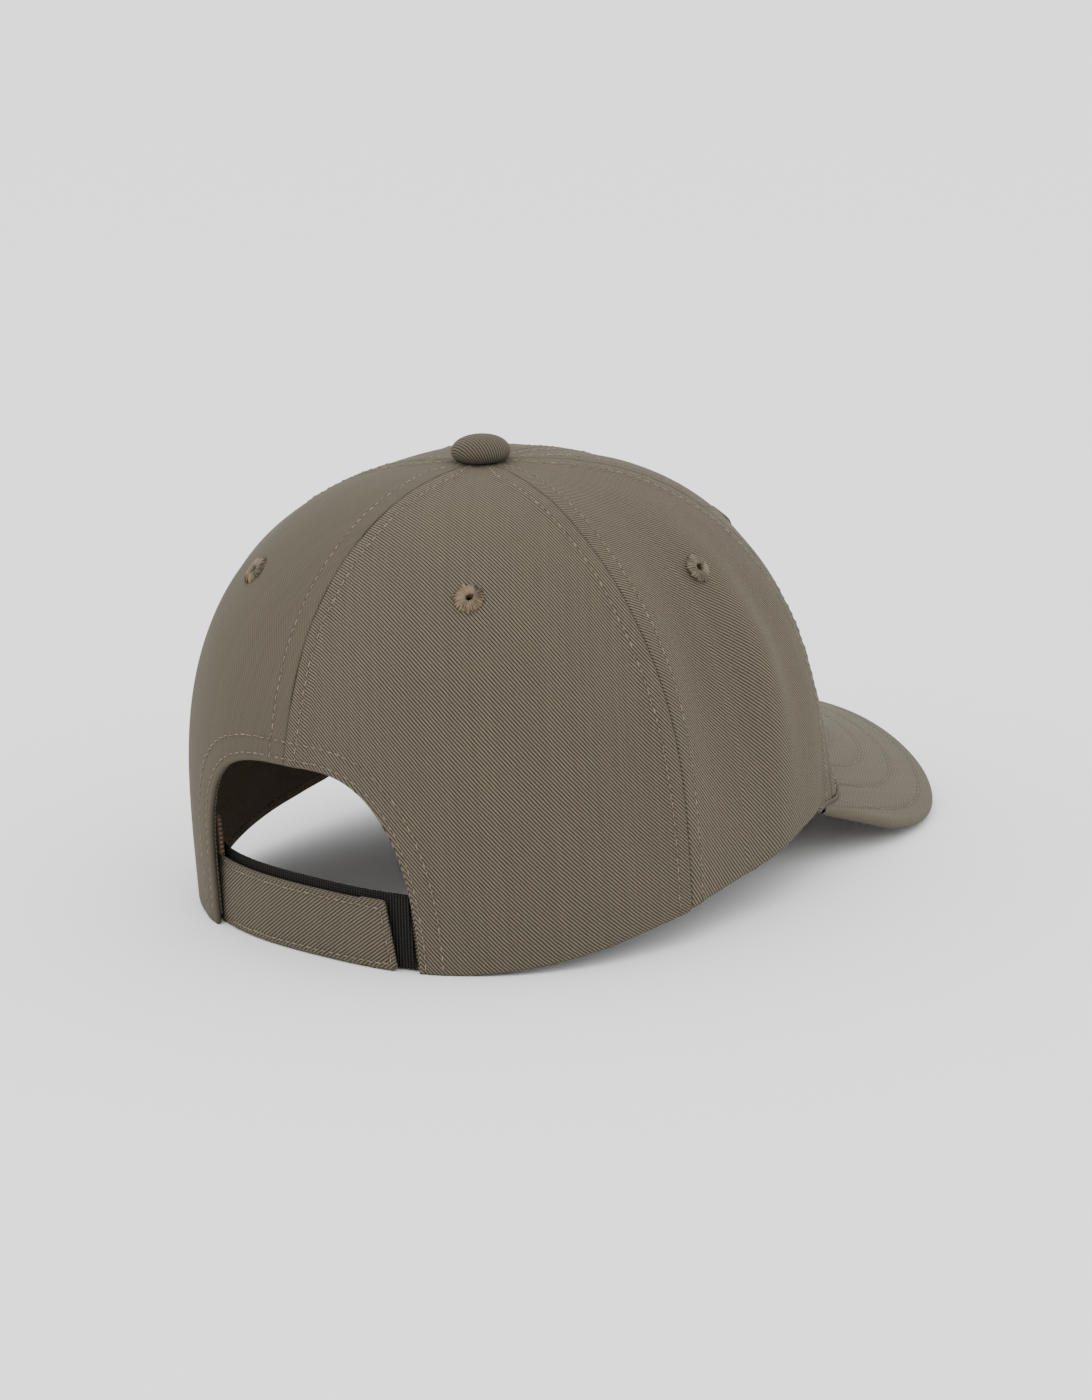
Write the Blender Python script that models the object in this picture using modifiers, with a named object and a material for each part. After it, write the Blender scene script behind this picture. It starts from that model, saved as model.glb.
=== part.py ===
"""Six-panel baseball cap: cloth crown, stiff visor and a hook-and-loop strap across a rear arch.

Metres, +Z up. The visor points along -Y and the wearer's right is -X. The origin is under the middle
of the cap, on the surface that it stands on. A place on the crown is (phi, t): phi goes round from the
centre back (0) by the wearer's right to the centre front (pi), and t goes up from the rim (0) to the
button (1).
"""

import math

import bmesh
import bpy
from mathutils import Matrix, Vector

# The crown
Y_SHIFT = 0.0253          # brings the middle of the whole cap over the origin
RIM_HALF_WIDTH = 0.0877
RIM_TO_BACK = 0.0998      # from the widest place of the rim
RIM_TO_FRONT = 0.0865
RIM_POWER = 2.57          # 2 is an ellipse
CROWN_HEIGHT = 0.1338
BUTTON_Y = 0.0135         # how far the button stands behind the widest place
RIM_RISE = (0.0148, 0.0089, -0.0041)    # cosine terms of the rim's height, round the cap
RIM_DROP = 0.0013         # the rim is cut flat where it would reach this far below the surface
PROFILE_ROUND = (0.7618, -0.0232, -0.0073)
PROFILE_HEIGHT = (0.9025, -0.1711, 0.0251)
PROFILE_BULGE = (0.1115, 0.035, 0.0547)
GORE_TOP = 0.9915         # the panels' tips end here, round the button's stem
FLARE = 0.055             # share by which the rim stands out over the visor
FLARE_END = 1.065         # phi from the centre front where it has died out
FLARE_BLEND = 0.28
FLARE_TOP = 0.222         # t where it has died out

# Seams, as phi at the button and its changes towards the rim
BACK_SEAM_PULL = -0.0536  # the closed strap draws the centre-back seam to the wearer's left
REAR_SEAM = (1.1934, 0.2098, -0.0322)
FRONT_SEAM = (2.1802, 0.0412, 0.0)

# Cloth
PANEL_THICK = 0.0009
LINING_THICK = 0.0005
TAPE_THICK = 0.0006
TAPE_WIDTH = 0.012
SEAM_GAP = 0.0005
LAYER_GAP = 0.0003
CURVED_GAP = 0.0006       # between curved layers, whose flat facets come nearer than their corners
FLARE_GAP = 0.0010        # the same where the front lining flares over the visor
BAND_DEPTH = 0.0041       # inward from the outer cloth to the sweatband's outer face
BAND_THICK = 0.0010
BAND_HEIGHT = 0.032
BAND_ENDS = (-0.0445, 0.0470)    # sideways places of its ends beside the rear arch
SEAM_TAPE_SPAN = (0.02, 0.92)    # t at the tapes' ends
LINING_SPAN = (0.03, 0.78)

# Rear arch
ARCH_HEIGHT = 0.0583
ARCH_RIGHT = (0.0365, 2.6)    # half width and roundness on the wearer's right
ARCH_LEFT = (0.0450, 4.0)
FACING_WIDTH = 0.008
FACING_THICK = 0.0007

# Visor
VISOR_LENGTH = 0.0652     # from the rim without its flare
VISOR_HALF_WIDTH = 0.0816
VISOR_POWER = 2.26
VISOR_CORNER = 0.992      # how far round from the centre front the visor is sewn
VISOR_BLEND = 0.6         # over this much of phi past the corner the rim leaves the visor's height
VISOR_SET = 0.030         # length of the straight side edges, forward of that corner
VISOR_SIDE = 0.1          # share of the visor's columns along each straight side
SIDE_START = 0.06         # share of the side edge that is hidden at the crown
UNDER_CROWN = 0.0005      # how far the visor reaches in under the crown
VISOR_Z = 0.0382          # height of the rim at the centre front
VISOR_ARCH = 4.6          # metres of drop for each square metre sideways
VISOR_SLOPE = 0.284
COVER_THICK = 0.0007
BOARD_THICK = 0.0018
BOARD_INSET = 0.0012      # of the board and the bottom cover inside the top cover's edge
CROWN_ON_VISOR = 0.0009

# Closure strap, from its sewn end at the wearer's left
STRAP_HEIGHT = 0.021
STRAP_THICK = 0.0010
HOOK_THICK = 0.0008
STRAP_X = (0.0440, -0.0300)   # sewn end and free end
HOOK_X = (0.0230, -0.0290)
STRAP_SLANT = 0.17            # the free end leans with the edge of the arch
LOOP_X = (0.0535, -0.0345)
INNER_X = (0.0555, -0.0420)   # free end and sewn end
LOOP_TOP = 0.0225
INNER_TOP = 0.0235
STACK_LEFT = 0.0030           # how deep the strap lies at the wearer's left,
STACK_RIGHT = -0.0003         # and at the right, where it lies on the inner strap

# Eyelets: phi from the middle of the gore, and t
EYELETS = {"back_right": (-0.083, 0.559), "side_right": (-0.10, 0.522), "front_right": (0.0, 0.54),
           "front_left": (0.0, 0.54), "side_left": (-0.10, 0.522), "back_left": (-0.16, 0.545)}
EYELET_HOLE = 0.0022
LINING_HOLE = 0.0039

STEM_HOLE = 0.0019        # radius, for the button's stem
CUTTER_REACH = 0.02

CLOTH = (0.165, 0.142, 0.108)
THREAD = (0.27, 0.22, 0.15)
BLACK = (0.012, 0.012, 0.013)
STEEL = (0.5, 0.5, 0.5)


# ---------------------------------------------------------------- the crown's surface

def series(terms, phi):
    return sum(value * math.cos(k * phi) for k, value in enumerate(terms))


def signed_power(value, power):
    return math.copysign(abs(value) ** power, value)


def smooth(value):
    value = min(max(value, 0.0), 1.0)
    return value * value * (3 - 2 * value)


def flare(phi):
    """How far the rim stands out over the visor, as a share of its reach."""
    from_front = abs(phi % (2 * math.pi) - math.pi)
    return FLARE * smooth((FLARE_END - from_front) / FLARE_BLEND)


def rim_xy(phi):
    """The rim in plan, before Y_SHIFT."""
    power = 2 / RIM_POWER
    wider = 1 + flare(phi)
    reach = RIM_TO_BACK if math.cos(phi) > 0 else RIM_TO_FRONT
    x = -RIM_HALF_WIDTH * signed_power(math.sin(phi), power)
    return x * wider, reach * signed_power(math.cos(phi), power) * wider


def visor_z(x, y):
    """The visor's upper surface, arched across and sloping down to the front."""
    return VISOR_Z - VISOR_ARCH * x * x + VISOR_SLOPE * (y + RIM_TO_FRONT)


def rim_z(phi):
    rise = sum(term * (1 - math.cos((k + 1) * phi)) / 2 for k, term in enumerate(RIM_RISE)) - RIM_DROP
    from_front = abs(phi % (2 * math.pi) - math.pi)
    share = smooth((VISOR_CORNER + VISOR_BLEND + 0.05 - from_front) / VISOR_BLEND)
    return rise * (1 - share) + (visor_z(*rim_xy(phi)) + CROWN_ON_VISOR) * share


def surface(phi, t):
    """A point of the crown's outer face."""
    x, y = rim_xy(phi)
    angle = t * math.pi / 2
    ease = (1 + flare(phi) * max(1 - t / FLARE_TOP, 0.0) ** 2) / (1 + flare(phi))
    out = max(math.cos(angle), 0.0) ** series(PROFILE_ROUND, phi)
    out *= 1 + series(PROFILE_BULGE, phi) * math.sin(angle) * math.cos(angle)
    up = math.sin(angle) ** series(PROFILE_HEIGHT, phi)
    low = rim_z(phi)
    return Vector((x * ease * out, BUTTON_Y * (1 - out) + y * ease * out + Y_SHIFT,
                   low + (CROWN_HEIGHT - low) * up))


def normal(phi, t):
    """The crown's outward direction."""
    t = min(max(t, 0.01), 0.985)
    round_it = surface(phi + 0.01, t) - surface(phi - 0.01, t)
    up_it = surface(phi, t + 0.01) - surface(phi, t - 0.01)
    return round_it.cross(up_it).normalized()


def crown(phi, t, depth=0.0):
    """A point that lies depth inside the crown's outer face."""
    return surface(phi, t) - normal(phi, t) * depth


def t_at_height(phi, z):
    """How far up the crown the height z is."""
    low = rim_z(phi)
    share = min(max((z - low) / (CROWN_HEIGHT - low), 0.0), 1.0)
    return math.asin(share ** (1 / series(PROFILE_HEIGHT, phi))) * 2 / math.pi


def phi_at_x(x):
    """Where round the back of the rim a sideways place is; the wearer's left is negative."""
    return -math.copysign(math.asin((abs(x) / RIM_HALF_WIDTH) ** (RIM_POWER / 2)), x)


def seam(number, t):
    """phi of a seam at t: 0 centre back, 1 right rear, 2 right front, 3 centre front, to 6, again 0."""
    if number in (0, 6):
        return BACK_SEAM_PULL * (1 - t) + (2 * math.pi if number == 6 else 0.0)
    if number == 3:
        return math.pi
    base, first, second = REAR_SEAM if number in (1, 5) else FRONT_SEAM
    phi = base + first * (1 - t) + second * (1 - t) ** 2
    return phi if number < 3 else 2 * math.pi - phi


# ---------------------------------------------------------------- making objects

def collection(name):
    made = bpy.data.collections.new(name)
    bpy.context.scene.collection.children.link(made)
    return made


def clear_scene():
    for item in list(bpy.data.objects):
        bpy.data.objects.remove(item, do_unlink=True)


def finish(obj, where, colour, roughness, metallic=0.0):
    """Puts an object in its collection and gives it its own material."""
    for old in list(obj.users_collection):
        old.objects.unlink(obj)
    where.objects.link(obj)
    material = bpy.data.materials.new(obj.name)
    material.use_nodes = True
    shader = material.node_tree.nodes["Principled BSDF"]
    shader.inputs["Base Color"].default_value = (*colour, 1.0)
    shader.inputs["Roughness"].default_value = roughness
    shader.inputs["Metallic"].default_value = metallic
    obj.data.materials.clear()
    obj.data.materials.append(material)
    obj.data.shade_smooth()
    obj.data.set_sharp_from_angle(angle=math.radians(40))
    return obj


def lofted(name, rows):
    """An open surface through rows of points, its faces looking along rows x columns."""
    mesh = bpy.data.meshes.new(name)
    bm = bmesh.new()
    grid = [[bm.verts.new(point) for point in row] for row in rows]
    for low, high in zip(grid, grid[1:]):
        for a, b, c, d in zip(low, low[1:], high[1:], high):
            bm.faces.new((a, b, c, d))
    bm.to_mesh(mesh)
    bm.free()
    return bpy.data.objects.new(name, mesh)


def thicken(obj, thickness, even=False):
    """Gives an open surface its thickness, away from the side that its faces look to."""
    shell = obj.modifiers.new("thickness", "SOLIDIFY")
    shell.thickness = thickness
    shell.offset = -1
    shell.use_even_offset = even
    return obj


def cut(obj, cutter):
    hole = obj.modifiers.new("cut_" + cutter.name, "BOOLEAN")
    hole.operation = "DIFFERENCE"
    hole.object = cutter


def turned(name, profile, steps):
    """A profile of (radius, height) in millimetres, down its outer side, turned about Z."""
    mesh = bpy.data.meshes.new(name)
    points = [(radius / 1000, 0.0, height / 1000) for radius, height in profile]
    closed = profile[0][0] > 0
    edges = [(i, i + 1) for i in range(len(points) - 1)] + ([(len(points) - 1, 0)] if closed else [])
    mesh.from_pydata(points, edges, [])
    obj = bpy.data.objects.new(name, mesh)
    screw = obj.modifiers.new("turn", "SCREW")
    screw.steps = screw.render_steps = steps
    screw.use_merge_vertices = True
    screw.merge_threshold = 0.00005
    return obj


def cylinder_cutter(name, radius, place):
    """A round cutter along the local Z of a place on the crown."""
    mesh = bpy.data.meshes.new(name)
    bm = bmesh.new()
    bmesh.ops.create_cone(bm, cap_ends=True, segments=12, radius1=radius, radius2=radius,
                          depth=CUTTER_REACH)
    bm.to_mesh(mesh)
    bm.free()
    return as_cutter(bpy.data.objects.new(name, mesh), place)


def as_cutter(obj, place=None):
    if place is not None:
        obj.matrix_world = place
    obj.hide_render = True
    obj.display_type = "WIRE"
    cutters.objects.link(obj)
    return obj


def frame_on_crown(phi, t):
    """A place with its Z along the crown's outward direction."""
    out = normal(phi, t)
    return Matrix.Translation(surface(phi, t)) @ out.to_track_quat("Z", "Y").to_matrix().to_4x4()


# ---------------------------------------------------------------- the crown's pieces

def between_seams(first, columns, low, high, rows, inset, depth):
    """Rows of points between seam first and the next one, kept inset from both."""
    made = []
    for r in range(rows + 1):
        t = low + (high - low) * r / rows
        left, right = seam(first, t), seam(first + 1, t)
        middle = (left + right) / 2
        reach = (crown(middle + 0.02, t, depth) - crown(middle - 0.02, t, depth)).length / 0.04
        margin = inset / reach
        left, right = left + margin, right - margin
        made.append([crown(left + (right - left) * c / columns, t, depth) for c in range(columns + 1)])
    return made


def rows_up(low, high, rows):
    return [low + (high - low) * r / rows for r in range(rows + 1)]


def make_panel(name, first, cutters_of):
    grid = between_seams(first, 8, 0.0, GORE_TOP, 12, SEAM_GAP / 2, 0.0)
    panel = thicken(lofted(name, grid), PANEL_THICK)
    for cutter in cutters_of:
        cut(panel, cutter)
    return finish(panel, cap, CLOTH, 0.9)


def make_lining(name, first, hole):
    grid = between_seams(first, 8, *LINING_SPAN, 9, 0.003, PANEL_THICK + CURVED_GAP)
    lining = thicken(lofted(name, grid), LINING_THICK)
    cut(lining, hole)
    return finish(lining, cap, (0.32, 0.30, 0.27), 0.8)


def ribbon(path, width):
    """Rows of three points across a path of (point, outward direction)."""
    rows = []
    for i, (point, out) in enumerate(path):
        ahead = path[min(i + 1, len(path) - 1)][0] - path[max(i - 1, 0)][0]
        across = ahead.cross(out).normalized() * width / 2
        rows.append([point - across, point, point + across])
    return rows


def make_tape(name, number, depth, steps=12):
    """Binding tape along one seam, inside."""
    path = []
    for t in rows_up(*SEAM_TAPE_SPAN, steps):
        phi = seam(number, t)
        path.append((crown(phi, t, depth), normal(phi, t)))
    tape = thicken(lofted(name, ribbon(path, TAPE_WIDTH)), TAPE_THICK)
    return finish(tape, cap, BLACK, 0.85)


def make_centre_tape(stem_hole, depth, steps=11):
    """One tape from the front rim over the top to the rear arch."""
    low, high = SEAM_TAPE_SPAN[0], 0.95
    end = t_at_height(0.0, ARCH_HEIGHT + FACING_WIDTH + 0.002)
    path = [(crown(math.pi, t, depth), normal(math.pi, t)) for t in rows_up(low, high, steps)]
    front, back = crown(math.pi, high, depth), crown(0.0, high, depth)
    for share in (0.3, 0.5, 0.7):
        path.append((front.lerp(back, share), Vector((0.0, 0.0, 1.0))))
    for t in rows_up(high, end, steps - 3):
        phi = seam(0, t)
        path.append((crown(phi, t, depth), normal(phi, t)))
    tape = thicken(lofted("tape_centre", ribbon(path, TAPE_WIDTH)), TAPE_THICK)
    cut(tape, stem_hole)
    return finish(tape, cap, BLACK, 0.85)


def make_sweatband(steps=44):
    """A band round the inside of the rim, open across the rear arch."""
    start, end = phi_at_x(BAND_ENDS[0]), 2 * math.pi + phi_at_x(BAND_ENDS[1])
    rows = []
    for rise in (0.0014, 0.011, 0.022, BAND_HEIGHT):
        row = []
        for k in range(steps + 1):
            phi = start + (end - start) * k / steps
            t = t_at_height(phi, max(rim_z(phi), 0.0) + rise)
            row.append(crown(phi, t, BAND_DEPTH))
        rows.append(row)
    band = thicken(lofted("sweatband", rows), BAND_THICK)
    return finish(band, cap, (0.12, 0.10, 0.075), 0.9)


def arch_edge(angle, grow):
    """A point of the arch's outline in front view: 0 is at the wearer's right foot and pi at the left."""
    half, power = ARCH_RIGHT if angle < math.pi / 2 else ARCH_LEFT
    x = -(half + grow) * signed_power(math.cos(angle), 2 / power)
    z = (ARCH_HEIGHT + grow) * abs(math.sin(angle)) ** (2 / power)
    return x, z


def on_crown_at(x, z, depth):
    """The point of the crown's back with this x and z, for a small x."""
    phi = phi_at_x(x)
    for _ in range(6):
        t = t_at_height(phi, z)
        out = abs(surface(phi, t).x) / max(abs(rim_xy(phi)[0]), 1e-6)
        phi = phi_at_x(x / max(out, 0.3))
    return crown(phi, t_at_height(phi, z), depth)


def make_arch_cutter(steps=28):
    """A prism with the arch's outline, from inside the crown out past its back."""
    outline = [arch_edge(math.pi * k / steps, 0.0) for k in range(steps + 1)]
    below = -0.01
    outline = [(outline[0][0], below)] + outline + [(outline[-1][0], below)]
    near, length = 0.02, 0.11
    mesh = bpy.data.meshes.new("arch_cutter")
    bm = bmesh.new()
    face = bm.faces.new([bm.verts.new((x, near + Y_SHIFT, z)) for x, z in outline])
    grown = bmesh.ops.extrude_face_region(bm, geom=[face])["geom"]
    moved = [item for item in grown if isinstance(item, bmesh.types.BMVert)]
    bmesh.ops.translate(bm, vec=(0.0, length, 0.0), verts=moved)
    bmesh.ops.recalc_face_normals(bm, faces=bm.faces)
    bm.to_mesh(mesh)
    bm.free()
    return as_cutter(bpy.data.objects.new("arch_cutter", mesh))


def make_floor_cutter():
    """A block under the cap, which trims the rim flat where it touches the surface."""
    size = Vector((0.4, 0.4, 0.05))
    mesh = bpy.data.meshes.new("floor_cutter")
    bm = bmesh.new()
    bmesh.ops.create_cube(bm, size=1.0)
    bmesh.ops.scale(bm, vec=size, verts=bm.verts)
    bm.to_mesh(mesh)
    bm.free()
    return as_cutter(bpy.data.objects.new("floor_cutter", mesh), Matrix.Translation((0, 0, -size.z / 2)))


def make_arch_facing(steps=30):
    """The strip of cloth that faces the edge of the arch, inside."""
    depth = PANEL_THICK + CURVED_GAP
    rows = []
    for grow in (0.0002, FACING_WIDTH / 2, FACING_WIDTH):
        row = []
        for k in range(steps + 1):
            x, z = arch_edge(math.pi * (0.004 + 0.992 * k / steps), grow)
            row.append(on_crown_at(x, max(z, 0.0008), depth))
        rows.append(row[::-1])
    facing = thicken(lofted("arch_facing", rows), FACING_THICK)
    return finish(facing, cap, CLOTH, 0.9)


# ---------------------------------------------------------------- button and eyelets

def make_button():
    """The covered button: cloth over a metal shell, whose stem is held by a washer inside."""
    top = Matrix.Translation(Vector((0.0, BUTTON_Y + Y_SHIFT, CROWN_HEIGHT)))
    cover = [(0, 7.6), (3, 7.5), (5.8, 6.9), (7.8, 5.6), (8.8, 3.8), (8.7, 2.0), (7.8, 0.8), (6.6, 0.4),
             (6.6, 1.1), (7.4, 1.4), (8.0, 2.3), (8.0, 3.6), (7.2, 5.0), (5.4, 6.2), (2.8, 6.8), (0, 6.9)]
    shell = [(0, 6.55), (2.7, 6.45), (5.1, 5.9), (6.8, 4.8), (7.6, 3.4), (7.6, 2.4), (7.1, 1.8), (6.4, 1.8),
             (6.6, 3.2), (4.6, 4.9), (1.3, 5.5), (1.2, -4.9), (0, -4.9)]
    washer = [(1.6, -3.7), (6.0, -3.7), (6.0, -4.4), (1.6, -4.4)]
    pieces = (("button_cover", cover, CLOTH, 0.9, 0.0),
              ("button_shell", shell, STEEL, 0.35, 1.0),
              ("button_washer", washer, STEEL, 0.35, 1.0))
    for name, profile, colour, roughness, metallic in pieces:
        piece = turned(name, profile, 20)
        piece.matrix_world = top
        finish(piece, cap, colour, roughness, metallic)
    return cylinder_cutter("stem_cutter", STEM_HOLE, top)


def eyelet_place(first, key):
    turn, t = EYELETS[key]
    middle = (seam(first, t) + seam(first + 1, t)) / 2
    return middle + (turn if first < 3 else -turn), t


def make_eyelet(name, place):
    """Thread worked round a hole: a raised ring outside, a neck through the cloth, a ring inside."""
    ring = [(1.1, 1.0), (2.2, 1.25), (3.7, 1.0), (4.7, 0.65), (4.5, 0.5), (1.8, 0.5),
            (1.8, -1.5), (3.4, -1.6), (3.3, -2.1), (1.1, -2.2)]
    eyelet = turned(name, ring, 12)
    eyelet.matrix_world = place
    return finish(eyelet, cap, THREAD, 0.7)


# ---------------------------------------------------------------- visor

def visor_edge(share, inset):
    """The visor's outer edge in plan, before Y_SHIFT: its right side, its curved front, its left side."""
    corner_x, corner_y = rim_xy(math.pi - VISOR_CORNER)
    side = min(share, 1 - share)
    if side < VISOR_SIDE:
        out = SIDE_START + (1 - SIDE_START) * side / VISOR_SIDE
        x = abs(corner_x) * (1 - out) + VISOR_HALF_WIDTH * out - inset
        return math.copysign(x, share - 0.5), corner_y - VISOR_SET * out
    power = 2 / VISOR_POWER
    angle = math.pi * (share - VISOR_SIDE) / (1 - 2 * VISOR_SIDE)
    reach = VISOR_LENGTH + RIM_TO_FRONT + corner_y - VISOR_SET - inset
    return (-(VISOR_HALF_WIDTH - inset) * signed_power(math.cos(angle), power),
            corner_y - VISOR_SET - reach * abs(math.sin(angle)) ** power)


def visor_grid(inset, drop, lip, columns=30, rows=5):
    """Rows across the visor from the crown to its edge, drop below its upper surface.

    A lip turns the last row down by that much, round the edge of what lies under it.
    """
    made = [[] for _ in range(rows + 1 + (lip > 0))]
    for c in range(columns + 1):
        share = 1 - c / columns
        inner = rim_xy(math.pi - VISOR_CORNER + 2 * VISOR_CORNER * share)
        pull = UNDER_CROWN / math.hypot(*inner)
        outer = visor_edge(share, inset)
        for r in range(rows + 1):
            out = r / rows
            x = inner[0] * (1 - pull) * (1 - out) + outer[0] * out
            y = inner[1] * (1 - pull) * (1 - out) + outer[1] * out
            up = Vector((2 * VISOR_ARCH * x, -VISOR_SLOPE, 1.0)).normalized()
            made[r].append(Vector((x, y + Y_SHIFT, visor_z(x, y))) - up * drop)
        if lip > 0:
            made[-1].append(made[-2][-1] - up * lip)
    return made


def make_visor():
    board = COVER_THICK + LAYER_GAP
    under = board + BOARD_THICK + LAYER_GAP
    pieces = (("visor_top_cover", 0.0, 0.0, under + COVER_THICK, COVER_THICK, CLOTH, 0.9),
              ("visor_board", BOARD_INSET, board, 0.0, BOARD_THICK, (0.6, 0.6, 0.58), 0.5),
              ("visor_bottom_cover", BOARD_INSET, under, 0.0, COVER_THICK, CLOTH, 0.9))
    for name, inset, drop, lip, thickness, colour, roughness in pieces:
        plate = lofted(name, visor_grid(inset, drop, lip))
        finish(thicken(plate, thickness, even=True), cap, colour, roughness)


# ---------------------------------------------------------------- closure

def stack_depth(x):
    """How deep the closure lies at x: inside the cap at the left, on the crown's line at the right."""
    share = (x - STRAP_X[1]) / (STRAP_X[0] - STRAP_X[1])
    return STACK_RIGHT + (STACK_LEFT - STACK_RIGHT) * share


def band_point(x, z, depth):
    """A point of an upright band that follows the rim."""
    phi = phi_at_x(x)
    out = normal(phi, 0.01)
    out.z = 0.0
    place = rim_xy(phi)
    return Vector((place[0], place[1] + Y_SHIFT, z)) - out.normalized() * depth


def make_band(name, ends, low, high, layer, thickness, colour, slant=0.0, columns=12):
    """An upright strip along the back of the rim, layer deep in the closure."""
    rows = []
    for z in (low, (low + high) / 2, high):
        row = []
        for c in range(columns + 1):
            share = c / columns
            x = ends[0] + (ends[1] - ends[0]) * share + slant * (z - low) * share
            row.append(band_point(x, z, stack_depth(x) + layer))
        rows.append(row)
    strip = thicken(lofted(name, rows), thickness)
    return finish(strip, cap, colour, 0.9)


def hinge_empty(name, x, layer):
    """The sewn line that a strap turns on."""
    line = bpy.data.objects.new(name, None)
    line.location = band_point(x, 0.0, stack_depth(x) + layer)
    cap.objects.link(line)
    return line


def hold(piece, parent):
    """Parents a piece without moving it."""
    piece.parent = parent
    piece.matrix_parent_inverse = Matrix.Translation(parent.location).inverted()


def make_closure():
    """The outer strap with its hook tape, over the inner strap with its loop tape."""
    hook = STRAP_THICK + LAYER_GAP
    loop = hook + HOOK_THICK + LAYER_GAP
    inner = loop + HOOK_THICK + LAYER_GAP
    left_line = hinge_empty("strap_seam_left", STRAP_X[0], STRAP_THICK / 2)
    right_line = hinge_empty("strap_seam_right", INNER_X[1], inner + STRAP_THICK / 2)
    hook_edge, loop_edge = 0.0012, 0.0008
    outer_strap = make_band("outer_strap", STRAP_X, 0.0, STRAP_HEIGHT, 0.0, STRAP_THICK, CLOTH,
                            STRAP_SLANT)
    hook_tape = make_band("hook_tape", HOOK_X, hook_edge, STRAP_HEIGHT - hook_edge, hook, HOOK_THICK,
                          BLACK, STRAP_SLANT)
    loop_tape = make_band("loop_tape", LOOP_X, loop_edge, LOOP_TOP, loop, HOOK_THICK, BLACK,
                          STRAP_SLANT / 2)
    inner_strap = make_band("inner_strap", INNER_X, 0.0, INNER_TOP, inner, STRAP_THICK, CLOTH)
    for piece, line in ((outer_strap, left_line), (hook_tape, left_line),
                        (loop_tape, right_line), (inner_strap, right_line)):
        hold(piece, line)


# ---------------------------------------------------------------- the whole cap

def make_crown():
    arch, floor = make_arch_cutter(), make_floor_cutter()
    kinds = ("back_right", "side_right", "front_right", "front_left", "side_left", "back_left")
    for first, kind in enumerate(kinds):
        place = frame_on_crown(*eyelet_place(first, kind))
        holes = [cylinder_cutter("eyelet_cutter_" + kind, EYELET_HOLE, place)]
        if kind.startswith("back"):
            holes += [arch, floor]
        make_panel("panel_" + kind, first, holes)
        make_eyelet("eyelet_" + kind, place)
        if kind.startswith("front"):
            wide = cylinder_cutter("lining_cutter_" + kind, LINING_HOLE, place)
            make_lining("buckram_" + kind, first, wide)
    shallow = PANEL_THICK + CURVED_GAP
    deep = shallow + LINING_THICK + CURVED_GAP
    flared = shallow + LINING_THICK + FLARE_GAP
    make_tape("tape_rear_right", 1, shallow)
    make_tape("tape_rear_left", 5, shallow)
    make_tape("tape_front_right", 2, flared)
    make_tape("tape_front_left", 4, flared)
    make_centre_tape(make_button(), deep)
    make_sweatband()
    make_arch_facing()


clear_scene()
cap = collection("baseball_cap")
cutters = collection("cutters")
make_crown()
make_visor()
make_closure()
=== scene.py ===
"""Looks of the baseball cap: cloth, seams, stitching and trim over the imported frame.

Metres, in the frame's axes: the visor points along -Y and the wearer's right is -X. A place on the
crown is (phi, t): phi goes round from the centre back by the wearer's right, and t goes from the rim
(0) to the button (1).
"""

import math

import bpy
import numpy as np
from mathutils import Matrix, Vector


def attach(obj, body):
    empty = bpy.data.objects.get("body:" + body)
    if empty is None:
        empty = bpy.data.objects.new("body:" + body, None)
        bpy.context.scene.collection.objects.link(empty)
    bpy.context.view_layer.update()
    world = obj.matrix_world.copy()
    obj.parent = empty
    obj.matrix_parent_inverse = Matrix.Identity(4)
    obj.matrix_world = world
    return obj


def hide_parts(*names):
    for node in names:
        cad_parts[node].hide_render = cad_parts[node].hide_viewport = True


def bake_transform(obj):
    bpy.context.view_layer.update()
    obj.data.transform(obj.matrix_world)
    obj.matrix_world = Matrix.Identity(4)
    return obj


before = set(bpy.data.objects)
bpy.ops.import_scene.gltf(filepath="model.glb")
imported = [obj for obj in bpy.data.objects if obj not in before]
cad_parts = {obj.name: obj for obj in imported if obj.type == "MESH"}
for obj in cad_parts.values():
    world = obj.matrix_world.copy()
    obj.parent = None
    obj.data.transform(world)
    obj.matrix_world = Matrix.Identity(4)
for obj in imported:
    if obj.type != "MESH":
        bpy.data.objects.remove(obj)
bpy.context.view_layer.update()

MM = 0.001

# The crown's form, as in the frame
Y_SHIFT = 0.0253
RIM_HALF_WIDTH = 0.0877
RIM_TO_BACK = 0.0998
RIM_TO_FRONT = 0.0865
RIM_POWER = 2.57
CROWN_HEIGHT = 0.1338
BUTTON_Y = 0.0135
RIM_RISE = (0.0148, 0.0089, -0.0041)
RIM_DROP = 0.0013
PROFILE_ROUND = (0.7618, -0.0232, -0.0073)
PROFILE_HEIGHT = (0.9025, -0.1711, 0.0251)
PROFILE_BULGE = (0.1115, 0.035, 0.0547)
GORE_TOP = 0.9915
BACK_SEAM_PULL = -0.0536
REAR_SEAM = (1.1934, 0.2098, -0.0322)
FRONT_SEAM = (2.1802, 0.0412, 0.0)
ARCH_HEIGHT = 0.0583
ARCH_RIGHT = (0.0365, 2.6)
ARCH_LEFT = (0.0450, 4.0)
VISOR_LENGTH = 0.0652
VISOR_HALF_WIDTH = 0.0816
VISOR_POWER = 2.26
VISOR_CORNER = 0.992
VISOR_BLEND = 0.6
VISOR_SET = 0.030
VISOR_Z = 0.0382
VISOR_ARCH = 4.6
VISOR_SLOPE = 0.284
CROWN_ON_VISOR = 0.0009
STRAP_HEIGHT = 0.021
STRAP_X = (0.0440, -0.0300)
STRAP_SLANT = 0.17
STACK_LEFT = 0.0030
STACK_RIGHT = -0.0003
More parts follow.
